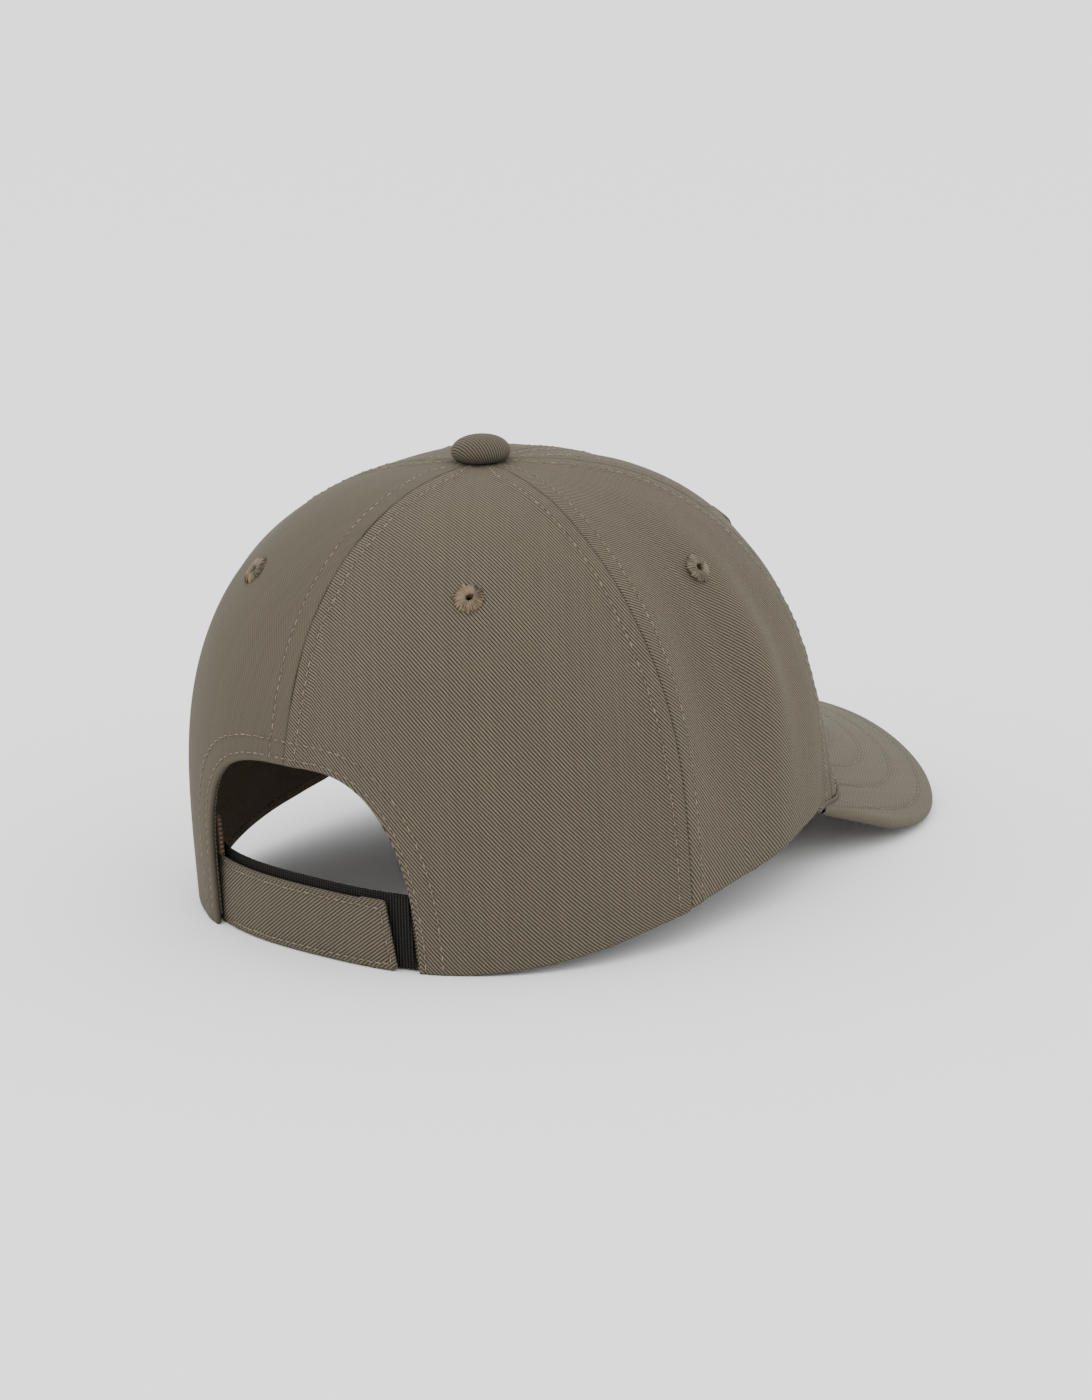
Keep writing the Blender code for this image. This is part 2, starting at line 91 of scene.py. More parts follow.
EYELETS = {"back_right": (-0.083, 0.559), "side_right": (-0.10, 0.522), "front_right": (0.0, 0.54),
           "front_left": (0.0, 0.54), "side_left": (-0.10, 0.522), "back_left": (-0.16, 0.545)}
FLARE = 0.055                # share by which the front of the rim is wider
FLARE_END = 1.065
FLARE_BLEND = 0.28
FLARE_TOP = 0.222
VISOR_SIDE = 0.1
SIDE_START = 0.02
PANELS = ("back_right", "side_right", "front_right", "front_left", "side_left", "back_left")

# The sewing
STITCH = 2.9 * MM            # from one needle hole to the next
THREAD = 0.17 * MM           # half the thread's thickness
SEAM_ROW = 5.0 * MM          # from a seam to the stitches beside it
CENTRE_ROWS = (4.4 * MM, 5.9 * MM)    # the same beside the centre-back seam, right and left
ARCH_ROLL = 0.9 * MM         # half the thickness of the arch's rolled edge
RIM_ROLL = 0.8 * MM          # the same at the rim
RIM_START = 0.6 * MM         # the rolled hem starts this far above the rim's line
ARCH_ROWS = (2.2 * MM, 7.2 * MM)    # stitch rows round the arch, from its edge


# ---------------------------------------------------------------- the crown's surface

def series(terms, phi):
    return sum(value * np.cos(k * phi) for k, value in enumerate(terms))


def signed_power(value, power):
    return np.sign(value) * np.abs(value) ** power


def smooth(value):
    value = np.clip(value, 0.0, 1.0)
    return value * value * (3 - 2 * value)


def bell(value, width):
    return np.exp(-((value / width) ** 2))


def unit(vectors):
    return vectors / np.maximum(np.linalg.norm(vectors, axis=-1, keepdims=True), 1e-12)


def flare(phi):
    from_front = np.abs(np.mod(phi, 2 * math.pi) - math.pi)
    return FLARE * smooth((FLARE_END - from_front) / FLARE_BLEND)


def rim_xy(phi):
    power = 2 / RIM_POWER
    wider = 1 + flare(phi)
    reach = np.where(np.cos(phi) > 0, RIM_TO_BACK, RIM_TO_FRONT) * wider
    x = -RIM_HALF_WIDTH * wider * signed_power(np.sin(phi), power)
    return x, reach * signed_power(np.cos(phi), power)


def visor_z(x, y):
    return VISOR_Z - VISOR_ARCH * x * x + VISOR_SLOPE * (y + RIM_TO_FRONT)


def rim_z(phi):
    rise = sum(term * (1 - np.cos((k + 1) * phi)) / 2 for k, term in enumerate(RIM_RISE)) - RIM_DROP
    from_front = np.abs(np.mod(phi, 2 * math.pi) - math.pi)
    share = smooth((VISOR_CORNER + VISOR_BLEND + 0.05 - from_front) / VISOR_BLEND)
    return rise * (1 - share) + (visor_z(*rim_xy(phi)) + CROWN_ON_VISOR) * share


def surface(phi, t):
    phi, t = np.broadcast_arrays(np.asarray(phi, float), np.asarray(t, float))
    x, y = rim_xy(phi)
    angle = t * math.pi / 2
    ease = (1 + flare(phi) * np.maximum(1 - t / FLARE_TOP, 0.0) ** 2) / (1 + flare(phi))
    out = np.maximum(np.cos(angle), 1e-9) ** series(PROFILE_ROUND, phi)
    out = out * (1 + series(PROFILE_BULGE, phi) * np.sin(angle) * np.cos(angle))
    up = np.maximum(np.sin(angle), 0.0) ** series(PROFILE_HEIGHT, phi)
    low = rim_z(phi)
    return np.stack([x * ease * out, BUTTON_Y * (1 - out) + y * ease * out + Y_SHIFT,
                     low + (CROWN_HEIGHT - low) * up], axis=-1)


def normal(phi, t):
    t = np.clip(t, 0.01, 0.985)
    round_it = surface(phi + 0.01, t) - surface(phi - 0.01, t)
    up_it = surface(phi, t + 0.01) - surface(phi, t - 0.01)
    return unit(np.cross(round_it, up_it))


def crown(phi, t, depth=0.0):
    return surface(phi, t) - normal(phi, t) * np.asarray(depth)[..., None]


def t_at_height(phi, z):
    low = rim_z(phi)
    share = np.clip((z - low) / (CROWN_HEIGHT - low), 0.0, 1.0)
    return np.arcsin(share ** (1 / series(PROFILE_HEIGHT, phi))) * 2 / math.pi


def phi_at_x(x):
    x = np.asarray(x, float)
    return -np.sign(x) * np.arcsin(np.clip((np.abs(x) / RIM_HALF_WIDTH) ** (RIM_POWER / 2), 0, 1))


def seam(number, t):
    if number in (0, 6):
        return BACK_SEAM_PULL * (1 - t) + (2 * math.pi if number == 6 else 0.0)
    if number == 3:
        return math.pi + 0.0 * t
    base, first, second = REAR_SEAM if number in (1, 5) else FRONT_SEAM
    phi = base + first * (1 - t) + second * (1 - t) ** 2
    return phi if number < 3 else 2 * math.pi - phi


def arch_edge(angle, grow):
    """A point of the arch's outline in front view: 0 is at the wearer's right foot and pi at the left."""
    right = angle < math.pi / 2
    half = np.where(right, ARCH_RIGHT[0], ARCH_LEFT[0])
    power = 2 / np.where(right, ARCH_RIGHT[1], ARCH_LEFT[1])
    x = -(half + grow) * signed_power(np.cos(angle), power)
    return x, (ARCH_HEIGHT + grow) * np.abs(np.sin(angle)) ** power


def phi_t_at(x, z):
    """(phi, t) of the crown's back at this x and z."""
    phi = phi_at_x(x)
    for _ in range(8):
        t = t_at_height(phi, z)
        out = np.abs(surface(phi, t)[..., 0]) / np.maximum(np.abs(rim_xy(phi)[0]), 1e-6)
        phi = phi_at_x(x / np.clip(out, 0.3, 2.0))
    return phi, t_at_height(phi, z)


ARCH_LINE = np.stack(arch_edge(np.linspace(0, math.pi, 361), 0.0), axis=-1)
ARCH_LINE = np.vstack([[ARCH_LINE[0, 0], -0.05], ARCH_LINE, [ARCH_LINE[-1, 0], -0.05]])


def from_arch(points):
    """How far points lie outside the arch's outline, in front view; less than 0 in the opening."""
    flat = points.reshape(-1, 3)[:, (0, 2)]
    best = np.full(len(flat), np.inf)
    for a, b in zip(ARCH_LINE, ARCH_LINE[1:]):
        along = np.clip(((flat - a) @ (b - a)) / ((b - a) @ (b - a)), 0, 1)
        best = np.minimum(best, np.linalg.norm(flat - a - along[:, None] * (b - a), axis=1))
    x, z = flat.T
    half = np.where(x < 0, ARCH_RIGHT[0], ARCH_LEFT[0])
    power = np.where(x < 0, ARCH_RIGHT[1], ARCH_LEFT[1])
    inside = (np.abs(x) / half) ** power + (np.maximum(z, 0) / ARCH_HEIGHT) ** power < 1
    return (best * np.where(inside, -1, 1)).reshape(points.shape[:-1])


# ---------------------------------------------------------------- objects

def shown(name, points, faces, uv=None, crease_shade=None, body="crown", material=None, replaces=(),
          slot=None, smooth_it=True):
    """Makes a piece of the cap from points and faces, with its cloth coordinates."""
    mesh = bpy.data.meshes.new(name)
    mesh.from_pydata(np.asarray(points).tolist(), [], faces)
    mesh.validate()
    obj = bpy.data.objects.new(name, mesh)
    bpy.context.scene.collection.objects.link(obj)
    corner = np.zeros(len(mesh.loops), np.int32)
    mesh.loops.foreach_get("vertex_index", corner)
    if uv is not None:
        layer = mesh.uv_layers.new(name="cloth")
        layer.data.foreach_set("uv", np.asarray(uv, np.float32)[corner].ravel())
    # The crease values are painted shade: the twill materials darken their colour by them.
    if crease_shade is not None:
        layer = mesh.attributes.new("crease_shade", "FLOAT", "POINT")
        layer.data.foreach_set("value", np.asarray(crease_shade, np.float32))
    mesh.polygons.foreach_set("use_smooth", [smooth_it] * len(mesh.polygons))
    if material:
        mesh.materials.append(material)
    if body:
        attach(obj, body)
    if replaces:
        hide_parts(*replaces)
    return obj


def grid_faces(rows, columns, start=0, ring=False):
    """Quads over rows x columns of points, which look along rows x columns."""
    faces = []
    across = columns if ring else columns - 1
    for r in range(rows - 1):
        for c in range(across):
            a, b = start + r * columns + c, start + r * columns + (c + 1) % columns
            faces.append((a, b, b + columns, a + columns))
    return faces


def thicken(obj, thickness, offset=-1):
    shell = obj.modifiers.new("thickness", "SOLIDIFY")
    shell.thickness = thickness
    shell.offset = offset
    return obj


def clipped(table, faces, keep):
    """Cuts faces along keep = 0, leaves the side above it, and says which points are new."""
    table, keep = np.asarray(table), np.asarray(keep)
    above, made, places, out = keep > 0, {}, [], []
    for face in faces:
        inside = [above[i] for i in face]
        if all(inside):
            out.append(tuple(face))
            continue
        if not any(inside):
            continue
        ring = []
        for a, b in zip(face, face[1:] + face[:1]):
            if above[a]:
                ring.append(a)
            if above[a] != above[b]:
                key = (min(a, b), max(a, b))
                if key not in made:
                    share = keep[a] / (keep[a] - keep[b])
                    made[key] = len(table) + len(places)
                    places.append(table[a] * (1 - share) + table[b] * share)
                ring.append(made[key])
        if len(ring) > 2:
            out.append(tuple(ring))
    if places:
        table = np.vstack([table, places])
    return table, out, set(made.values())


def border(faces):
    """The directed edges that only one face uses."""
    seen = {}
    for face in faces:
        for a, b in zip(face, face[1:] + face[:1]):
            key = (min(a, b), max(a, b))
            seen[key] = None if key in seen else (a, b)
    return [edge for edge in seen.values() if edge]


# ---------------------------------------------------------------- thread

def stitches(lines, seed=0, length=STITCH, fill=0.84, radius=THREAD, lift=0.16 * MM, sink=0.30 * MM):
    """Separate stitches along lines of (points, outward directions), as points and faces."""
    dice = np.random.default_rng(seed)
    sides, rings = 6, 6
    points, faces = [], []
    turn = np.arange(sides) * 2 * math.pi / sides
    for line, out in lines:
        step = np.linalg.norm(np.diff(line, axis=0), axis=1)
        along = np.concatenate([[0], np.cumsum(step)])
        number = max(int(along[-1] / length), 1)
        for k in range(number):
            start = (k + 0.5 - fill / 2 + dice.normal(0, 0.025)) * along[-1] / number
            size = fill * along[-1] / number * (1 + dice.normal(0, 0.03))
            share = np.linspace(0, 1, rings)
            at = np.clip(start + share * size, 0, along[-1])
            centre = np.stack([np.interp(at, along, line[:, i]) for i in range(3)], -1)
            up = unit(np.stack([np.interp(at, along, out[:, i]) for i in range(3)], -1))
            ahead = unit(np.gradient(centre, axis=0))
            side = unit(np.cross(ahead, up))
            rise = (lift + sink) * np.sin(share * math.pi) ** 0.6 - sink
            lean = dice.normal(0, 0.07) * MM + (share - 0.5) * dice.normal(0.12, 0.08) * MM
            centre = centre + up * rise[:, None] + side * lean[:, None]
            thick = radius * (0.45 + 0.55 * np.sin(share * math.pi) ** 0.4)[:, None, None]
            circle = side[:, None] * np.cos(turn)[None, :, None] + up[:, None] * np.sin(turn)[None, :, None]
            base = len(points) * rings * sides
            points.append((centre[:, None] + circle * thick).reshape(-1, 3))
            faces += grid_faces(rings, sides, base, ring=True)
            faces.append(tuple(base + i for i in range(sides))[::-1])
            faces.append(tuple(base + (rings - 1) * sides + i for i in range(sides)))
    return np.vstack(points), faces


def sew(name, lines, material, body="crown", slot="eyelet_thread", **options):
    points, faces = stitches(lines, **options)
    return shown(name, points, faces, body=body, material=material, slot=slot)


# ---------------------------------------------------------------- materials

class Graph:
    """Short names for the nodes of one material."""

    def __init__(self, name):
        self.material = bpy.data.materials.new(name)
        self.material.use_nodes = True
        self.tree = self.material.node_tree
        self.shader = self.tree.nodes["Principled BSDF"]

    def node(self, kind, inputs=None, **settings):
        made = self.tree.nodes.new(kind)
        for key, value in settings.items():
            setattr(made, key, value)
        for key, value in (inputs or {}).items():
            self.link(value, made.inputs[key])
        return made

    def link(self, value, socket):
        if isinstance(value, bpy.types.NodeSocket):
            self.tree.links.new(value, socket)
        else:
            socket.default_value = value

    def math(self, operation, a, b=0.0, c=0.0):
        return self.node("ShaderNodeMath", {0: a, 1: b, 2: c}, operation=operation).outputs[0]

    def spread(self, value, low, high, to_low=0.0, to_high=1.0):
        made = self.node("ShaderNodeMapRange", {"Value": value, "From Min": low, "From Max": high,
                                                "To Min": to_low, "To Max": to_high})
        made.interpolation_type = "SMOOTHSTEP"
        return made.outputs[0]

    def noise(self, vector, scale, detail=2.0, roughness=0.5):
        return self.node("ShaderNodeTexNoise", {"Vector": vector, "Scale": scale, "Detail": detail,
                                                "Roughness": roughness}).outputs[0]

    def mix(self, share, a, b):
        made = self.node("ShaderNodeMix", {0: share}, data_type="RGBA")
        for value, socket in ((a, made.inputs[6]), (b, made.inputs[7])):
            if not isinstance(value, bpy.types.NodeSocket):
                value = (*value, 1.0)
            self.link(value, socket)
        return made.outputs[2]

    def bump(self, height, distance, strength=1.0, under=None):
        inputs = {"Height": height, "Distance": distance, "Strength": strength}
        if under is not None:
            inputs["Normal"] = under
        return self.node("ShaderNodeBump", inputs).outputs[0]

    def finish(self, colour, roughness, bump=None, sheen=0.0, sheen_colour=(1, 1, 1), specular=0.3):
        if not isinstance(colour, bpy.types.NodeSocket):
            colour = (*colour, 1.0)
        self.link(colour, self.shader.inputs["Base Color"])
        self.link(roughness, self.shader.inputs["Roughness"])
        self.shader.inputs["Specular IOR Level"].default_value = specular
        self.shader.inputs["Sheen Weight"].default_value = sheen
        self.shader.inputs["Sheen Roughness"].default_value = 0.45
        self.shader.inputs["Sheen Tint"].default_value = (*sheen_colour, 1.0)
        if bump is not None:
            self.link(bump, self.shader.inputs["Normal"])
        return self.material


def twill(name, light, dark, turn=0.0, warp=0.297 * MM, weft=0.354 * MM, way=1.0, shades_creases=True,
          depth=0.16 * MM, sheen=0.25):
    """A 3/1 twill: warp threads float over three weft threads, one thread further on each time."""
    g = Graph(name)
    uv = g.node("ShaderNodeUVMap", uv_map="cloth").outputs[0]
    turned_uv = g.node("ShaderNodeVectorRotate", {"Vector": uv, "Angle": turn}, rotation_type="Z_AXIS")
    place = turned_uv.outputs[0]
    part = g.node("ShaderNodeSeparateXYZ", {0: place})
    drift = g.math("SUBTRACT", g.noise(place, 90.0, 2.0), 0.5)
    across = g.math("ADD", g.math("DIVIDE", part.outputs[0], warp), g.math("MULTIPLY", drift, 1.6))
    thread = g.math("FLOOR", across)
    in_thread = g.math("SUBTRACT", across, thread)
    jitter = g.math("SUBTRACT", g.noise(place, 420.0, 1.0), 0.5)
    along = g.math("ADD", g.math("DIVIDE", part.outputs[1], weft), g.math("MULTIPLY", thread, way))
    along = g.math("ADD", along, g.math("MULTIPLY", jitter, 0.9))
    step = g.math("FRACT", g.math("DIVIDE", along, 4.0))
    rib = g.math("POWER", g.math("SINE", g.math("MULTIPLY", in_thread, math.pi)), 0.6)
    over = g.math("MINIMUM", g.math("DIVIDE", step, 0.76), 1.0)
    bow = g.math("POWER", g.math("MAXIMUM", g.math("SINE", g.math("MULTIPLY", over, math.pi)), 0.0), 0.55)
    warp_height = g.math("MULTIPLY", bow, g.math("MULTIPLY_ADD", rib, 0.45, 0.55))
    height = g.math("MAXIMUM", warp_height, 0.16)
    fuzz = g.noise(place, 3500.0, 2.0)
    height = g.math("ADD", height, g.math("MULTIPLY", fuzz, 0.22))
    tone = g.node("ShaderNodeTexWhiteNoise", {"W": thread}, noise_dimensions="1D").outputs[0]
    cloudy = g.noise(place, 26.0, 3.0, 0.6)
    # Painted shade: the weave's low places take the dark colour and its raised floats the light one.
    level = g.spread(height, 0.12, 0.95)
    colour = g.mix(level, dark, light)
    shade = g.math("ADD", g.math("MULTIPLY", tone, 0.10), g.math("MULTIPLY", cloudy, 0.26))
    shade = g.math("ADD", shade, 0.82)
    # Painted shade: darker where the crease attribute marks seam valleys, stitch dips, turned-in hems and the
    # visor's join to the crown.
    if shades_creases:
        painted_crease_shade = g.node("ShaderNodeAttribute", attribute_name="crease_shade").outputs["Fac"]
        shade = g.math("MULTIPLY", shade, g.math("MULTIPLY_ADD", painted_crease_shade, -0.6, 1.0))
    scaled = g.node("ShaderNodeVectorMath", {0: colour}, operation="SCALE")
    g.link(shade, scaled.inputs["Scale"])
    rough = g.spread(cloudy, 0.2, 0.8, 0.84, 0.96)
    soft = g.bump(g.noise(place, 130.0, 3.0), 0.30 * MM, 0.35)
    bump = g.bump(height, depth, 0.9, soft)
    return g.finish(scaled.outputs[0], rough, bump, sheen, light, 0.2)


def thread_look(name, light, dark, pitch=0.35 * MM):
    """Twisted sewing thread."""
    g = Graph(name)
    place = g.node("ShaderNodeTexCoord").outputs["Object"]
    wave = g.node("ShaderNodeTexWave", {"Vector": place, "Scale": 0.3 / pitch, "Distortion": 2.0})
    tone = g.noise(place, 260.0, 2.0)
    colour = g.mix(g.spread(tone, 0.25, 0.75), dark, light)
    fine = g.math("MULTIPLY", wave.outputs["Fac"], g.noise(place, 4000.0))
    return g.finish(colour, 0.6, g.bump(fine, 0.05 * MM, 0.6), 0.2, light, 0.35)


def tape_look(name, light, dark, rib=0.55 * MM):
    """Woven tape with ribs across it."""
    g = Graph(name)
    uv = g.node("ShaderNodeUVMap", uv_map="cloth").outputs[0]
    part = g.node("ShaderNodeSeparateXYZ", {0: uv})
    ribs = g.math("SINE", g.math("MULTIPLY", part.outputs[0], 2 * math.pi / rib))
    cross = g.math("SINE", g.math("MULTIPLY", part.outputs[1], 2 * math.pi / (rib * 0.8)))
    height = g.math("MULTIPLY_ADD", cross, 0.25, g.math("MULTIPLY_ADD", ribs, 0.5, 0.5))
    height = g.math("ADD", height, g.math("MULTIPLY", g.noise(uv, 2500.0), 0.5))
    # Painted highlight and shade: the tape is lighter on the ribs' tops and darker between them.
    colour = g.mix(g.spread(height, 0.1, 1.2), dark, light)
    return g.finish(colour, 0.85, g.bump(height, 0.24 * MM, 1.0), 0.0, (0.5, 0.5, 0.5), 0.06)


def loop_look(name, light, dark):
    """The pile of hook-and-loop tape."""
    g = Graph(name)
    uv = g.node("ShaderNodeUVMap", uv_map="cloth").outputs[0]
    cells = g.node("ShaderNodeTexVoronoi", {"Vector": uv, "Scale": 2200.0}).outputs["Distance"]
    tangle = g.noise(uv, 1500.0, 4.0, 0.7)
    height = g.math("MULTIPLY_ADD", tangle, 0.8, g.math("SUBTRACT", 1.0, cells))
    # Painted highlight and shade: the pile is lighter on its raised loops and darker between them.
    colour = g.mix(g.spread(height, 0.7, 1.4), dark, light)
    return g.finish(colour, 0.9, g.bump(height, 0.25 * MM, 1.0), 0.5, (0.4, 0.4, 0.4), 0.2)


def plain_look(name, colour, roughness, grain, depth, metallic=0.0):
    """Moulded sheet or pressed metal."""
    g = Graph(name)
    place = g.node("ShaderNodeTexCoord").outputs["Object"]
    tone = g.noise(place, grain, 3.0)
    darker = tuple(0.75 * value for value in colour)
    g.shader.inputs["Metallic"].default_value = metallic
    shade = g.mix(g.spread(tone, 0.2, 0.8), darker, colour)
    rough = g.spread(tone, 0.2, 0.8, roughness - 0.08, roughness + 0.08)
    return g.finish(shade, rough, g.bump(tone, depth, 0.6))


# Painted shade: the dark colours darken each twill's weave hollows. The two panel materials are lit and
# shaded copies of one cloth: strong painted weave shade for the back-right and side-right panels, where light
# falls across the weave, and a faint one for the other panels.
LIGHT = (0.140, 0.119, 0.084)
DARK = (0.003, 0.0022, 0.0015)
SOFT_LIGHT = (0.077, 0.066, 0.047)
SOFT_DARK = (0.053, 0.045, 0.031)
panel_cloth = twill("panel_twill", LIGHT, DARK, depth=0.36 * MM)
faint_shade_cloth = twill("panel_twill_faint_shade", SOFT_LIGHT, SOFT_DARK, depth=0.04 * MM)
strap_cloth = twill("strap_twill", (0.130, 0.111, 0.079), (0.003, 0.0022, 0.0015),
                    depth=0.34 * MM, turn=math.radians(-13.0))
visor_cloth = twill("visor_twill", (0.091, 0.080, 0.059), (0.066, 0.057, 0.041), sheen=0.42, depth=0.08 * MM)
button_cloth = twill("button_twill", (0.100, 0.084, 0.060), DARK, turn=math.radians(-30.0), shades_creases=False)
under_cloth = twill("visor_under_twill", (0.128, 0.109, 0.078), (0.04, 0.034, 0.024), sheen=0.2)
band_cloth = twill("band_twill", (0.17, 0.125, 0.085), (0.04, 0.029, 0.019), shades_creases=False)
sewing = thread_look("sewing_thread", (0.215, 0.178, 0.124), (0.095, 0.078, 0.052))
visor_thread = thread_look("visor_thread", (0.137, 0.120, 0.089), (0.083, 0.073, 0.053))
gold = thread_look("eyelet_thread", (0.160, 0.116, 0.066), (0.030, 0.021, 0.012))
dull = thread_look("eyelet_thread_plain", (0.135, 0.105, 0.068), (0.035, 0.027, 0.018))
black_thread = thread_look("black_thread", (0.03, 0.03, 0.03), (0.012, 0.012, 0.012))
black_tape = tape_look("woven_tape", (0.022, 0.021, 0.019), (0.001, 0.001, 0.001), rib=0.95 * MM)
pile = loop_look("loop_pile", (0.03, 0.03, 0.03), (0.004, 0.004, 0.004))
stiffener = tape_look("buckram", (0.035, 0.033, 0.031), (0.010, 0.010, 0.010), rib=0.9 * MM)
board = plain_look("visor_board", (0.6, 0.6, 0.58), 0.5, 400.0, 0.02 * MM)
steel = plain_look("button_steel", (0.5, 0.5, 0.5), 0.35, 900.0, 0.01 * MM, 1.0)


# ---------------------------------------------------------------- crown panels

# Soft folds: middle as (phi, t), size as (phi, t), wave as a length of phi, and height
FOLDS = ((1.55, 0.30, 0.30, 0.24, 0.40, 1.33, 3.4 * MM),
         (5.30, 0.30, 0.22, 0.22, 0.33, 5.25, 0.8 * MM),
         (4.60, 0.28, 0.28, 0.22, 0.45, 4.50, 0.8 * MM))
# Places where the crown stands out or in: middle, size, height
BULGES = ((2.45, 0.72, 0.55, 0.22, 1.2 * MM), (3.85, 0.72, 0.55, 0.22, 0.8 * MM))


def loosen(phi, t):
    """The cloth's own unevenness, outward."""
    lift = np.zeros(np.broadcast(phi, t).shape)
    for phi0, t0, wide, high, wave, crest, size in FOLDS:
        wavy = np.cos(2 * math.pi * (phi - crest) / wave)
        lift = lift + size * wavy * bell(phi - phi0, wide) * bell(t - t0, high)
    for phi0, t0, wide, high, size in BULGES:
        lift = lift + size * bell(phi - phi0, wide) * bell(t - t0, high)
    for k in range(1, 6):
        ripple = 0.10 * MM / k ** 0.5 * np.sin(3.1 * k * phi + 7.3 * k * t + 1.7 * k * k)
        lift = lift + ripple * np.sin(math.pi * np.clip(t, 0, 1))
    return lift


class Gore:
    """One panel: metric places across it at each of its rows."""

    def __init__(self, first):
        self.first = first
        t = np.linspace(0, GORE_TOP, 241)
        middle = surface((seam(first, t) + seam(first + 1, t)) / 2, t)
        self.t = t
        self.up = np.concatenate([[0], np.cumsum(np.linalg.norm(np.diff(middle, axis=0), axis=1))])
        self.width = np.array([self.row(value)[1][-1] for value in t])
        shrink = -np.gradient(self.width, self.up)
        self.cone = np.clip(self.width / np.maximum(shrink, 1e-4), 0.004, 3.0)

    def row(self, t, count=81):
        share = np.linspace(0, 1, count)
        phi = seam(self.first, t) * (1 - share) + seam(self.first + 1, t) * share
        place = surface(phi, np.full(count, t))
        return phi, np.concatenate([[0], np.cumsum(np.linalg.norm(np.diff(place, axis=0), axis=1))])

    def phi(self, x, t):
        """phi at the distances x from the first seam, one row of them for each t."""
        out = np.empty_like(x)
        for i, value in enumerate(t):
            phi, along = self.row(value)
            out[i] = np.interp(x[i], along, phi)
        return out

    def cloth(self, x, t):
        """Points, outward directions, cloth coordinates and painted crease shade of the sewn cloth."""
        width = np.interp(t, self.t, self.width)[:, None]
        up = np.interp(t, self.t, self.up)[:, None]
        cone = np.interp(t, self.t, self.cone)[:, None]
        phi = self.phi(x, t)
        level = np.broadcast_to(t[:, None], x.shape)
        base, out = surface(phi, level), normal(phi, level)
        near = np.minimum(x, width - x)
        small = np.clip(width / (22 * MM), 0.12, 1.0)
        d = near / small
        stitch_wave = 0.75 + 0.25 * np.cos(2 * math.pi * up / STITCH)
        side = np.where(x < width / 2, 0.0, 2.4) + self.first
        pucker = np.sin(2 * math.pi * up / (7.1 * MM) + side)
        pucker = pucker + 0.6 * np.sin(2 * math.pi * up / (11.3 * MM) + 2 * side)
        row = np.where(x < width / 2, row_place(self.first, True),
                       row_place((self.first + 1) % 6, False))
        lift = 0.30 * MM * (1 - smooth((d - row - 0.2 * MM) / (2.2 * MM)))
        lift = lift - 0.26 * MM * bell(d, 0.38 * MM)
        lift = lift - 0.22 * MM * bell(d - row, 0.5 * MM) * stitch_wave
        lift = lift + 0.07 * MM * pucker * bell(d - 4.5 * MM, 4.0 * MM)
        lift = lift * small + loosen(phi, level)
        # Painted shade in the seam's valley and in the stitch row's dip.
        crease_shade = 0.45 * bell(d, 0.30 * MM) + 0.35 * bell(d - row, 0.35 * MM)
        if self.first in (0, 5):
            from_edge = from_arch(base)
            hem = 0.35 * MM * (1 - smooth((from_edge - ARCH_ROWS[1]) / (1.6 * MM)))
            for place in ARCH_ROWS:
                hem = hem - 0.22 * MM * bell(from_edge - place, 0.55 * MM)
                # Painted shade in each arch stitch row's dip.
                crease_shade = crease_shade + 0.25 * bell(from_edge - place, 0.35 * MM)
            lift = lift + hem * (from_edge > -2 * MM)
        points = base + out * lift[..., None]
        across = x - width / 2
        turn = across / cone
        uv = np.stack([cone * np.sin(turn), up + cone * (1 - np.cos(turn))], axis=-1)
        return points, out, uv, np.clip(crease_shade, 0, 1)


def seam_steps(width, count, finest):
    """Distances across a panel, close together beside its seams."""
    near = np.array([0, 0.25, 0.55, 0.9, 1.35, 1.9, 2.6, 3.3, 3.9, 4.4, 4.9, 5.4, 6.0, 6.8, 7.8]) * finest
    near = near * min(1.0, 0.40 * width / near[-1])
    middle = np.linspace(near[-1], width - near[-1], count + 2)[1:-1]
    return np.concatenate([near, middle, width - near[::-1]])


def eyelet_place(first, key):
    turn, t = EYELETS[key]
    middle = (seam(first, t) + seam(first + 1, t)) / 2
    return middle + (turn if first < 3 else -turn), t


def make_panel(first, kind, gore):
    """A crown panel with its sewn edges, cut for the arch and the eyelet, rolled round its hems."""
    rise = np.concatenate([np.arange(RIM_START, 8 * MM, 0.7 * MM),
                           np.arange(8 * MM, gore.up[-1], 1.15 * MM)])
    t = np.interp(np.append(rise, gore.up[-1]), gore.up, gore.t)
    back = first in (0, 5)
    x = np.array([seam_steps(np.interp(value, gore.t, gore.width), 100 if back else 52, MM) for value in t])
    points, out, uv, crease_shade = gore.cloth(x, t)
    rows, columns = x.shape
    level = np.broadcast_to(t[:, None], x.shape)
    table = np.concatenate([points.reshape(-1, 3), out.reshape(-1, 3), uv.reshape(-1, 2),
                            crease_shade.reshape(-1, 1), level.reshape(-1, 1)], axis=1)
    faces = grid_faces(rows, columns)
    centre = surface(*eyelet_place(first, kind))
    table, faces, _ = clipped(table, faces, np.linalg.norm(table[:, :3] - centre, axis=1) - 2.0 * MM)
    cut = set()
    if back:
        table, faces, cut = clipped(table, faces, from_arch(table[:, :3]) - ARCH_ROLL)
    edges = border(faces)
    low = {i for edge in edges for i in edge if table[i, 9] < t[0] + 1e-6}
    rolled = [(a, b) for a, b in edges if (a in cut and b in cut) or (a in low and b in low)]
    table, faces = roll_edges(table, faces, rolled, cut, low)
    used = sorted({i for face in faces for i in face})
    place = {old: new for new, old in enumerate(used)}
    table = table[used]
    table[:, 2] = np.maximum(table[:, 2], 0.0)
    faces = [tuple(place[i] for i in face) for face in faces]
    # The back-right and side-right panels get the strongly shaded copy of the twill, and the other panels get
    # the faintly shaded copy.
    panel = shown("cloth_" + kind, table[:, :3], faces, table[:, 6:8], table[:, 8],
                  material=panel_cloth if kind in ("back_right", "side_right") else faint_shade_cloth,
                  replaces=("panel_" + kind,), slot="twill")
    thicken(panel, 0.5 * MM)
    return panel


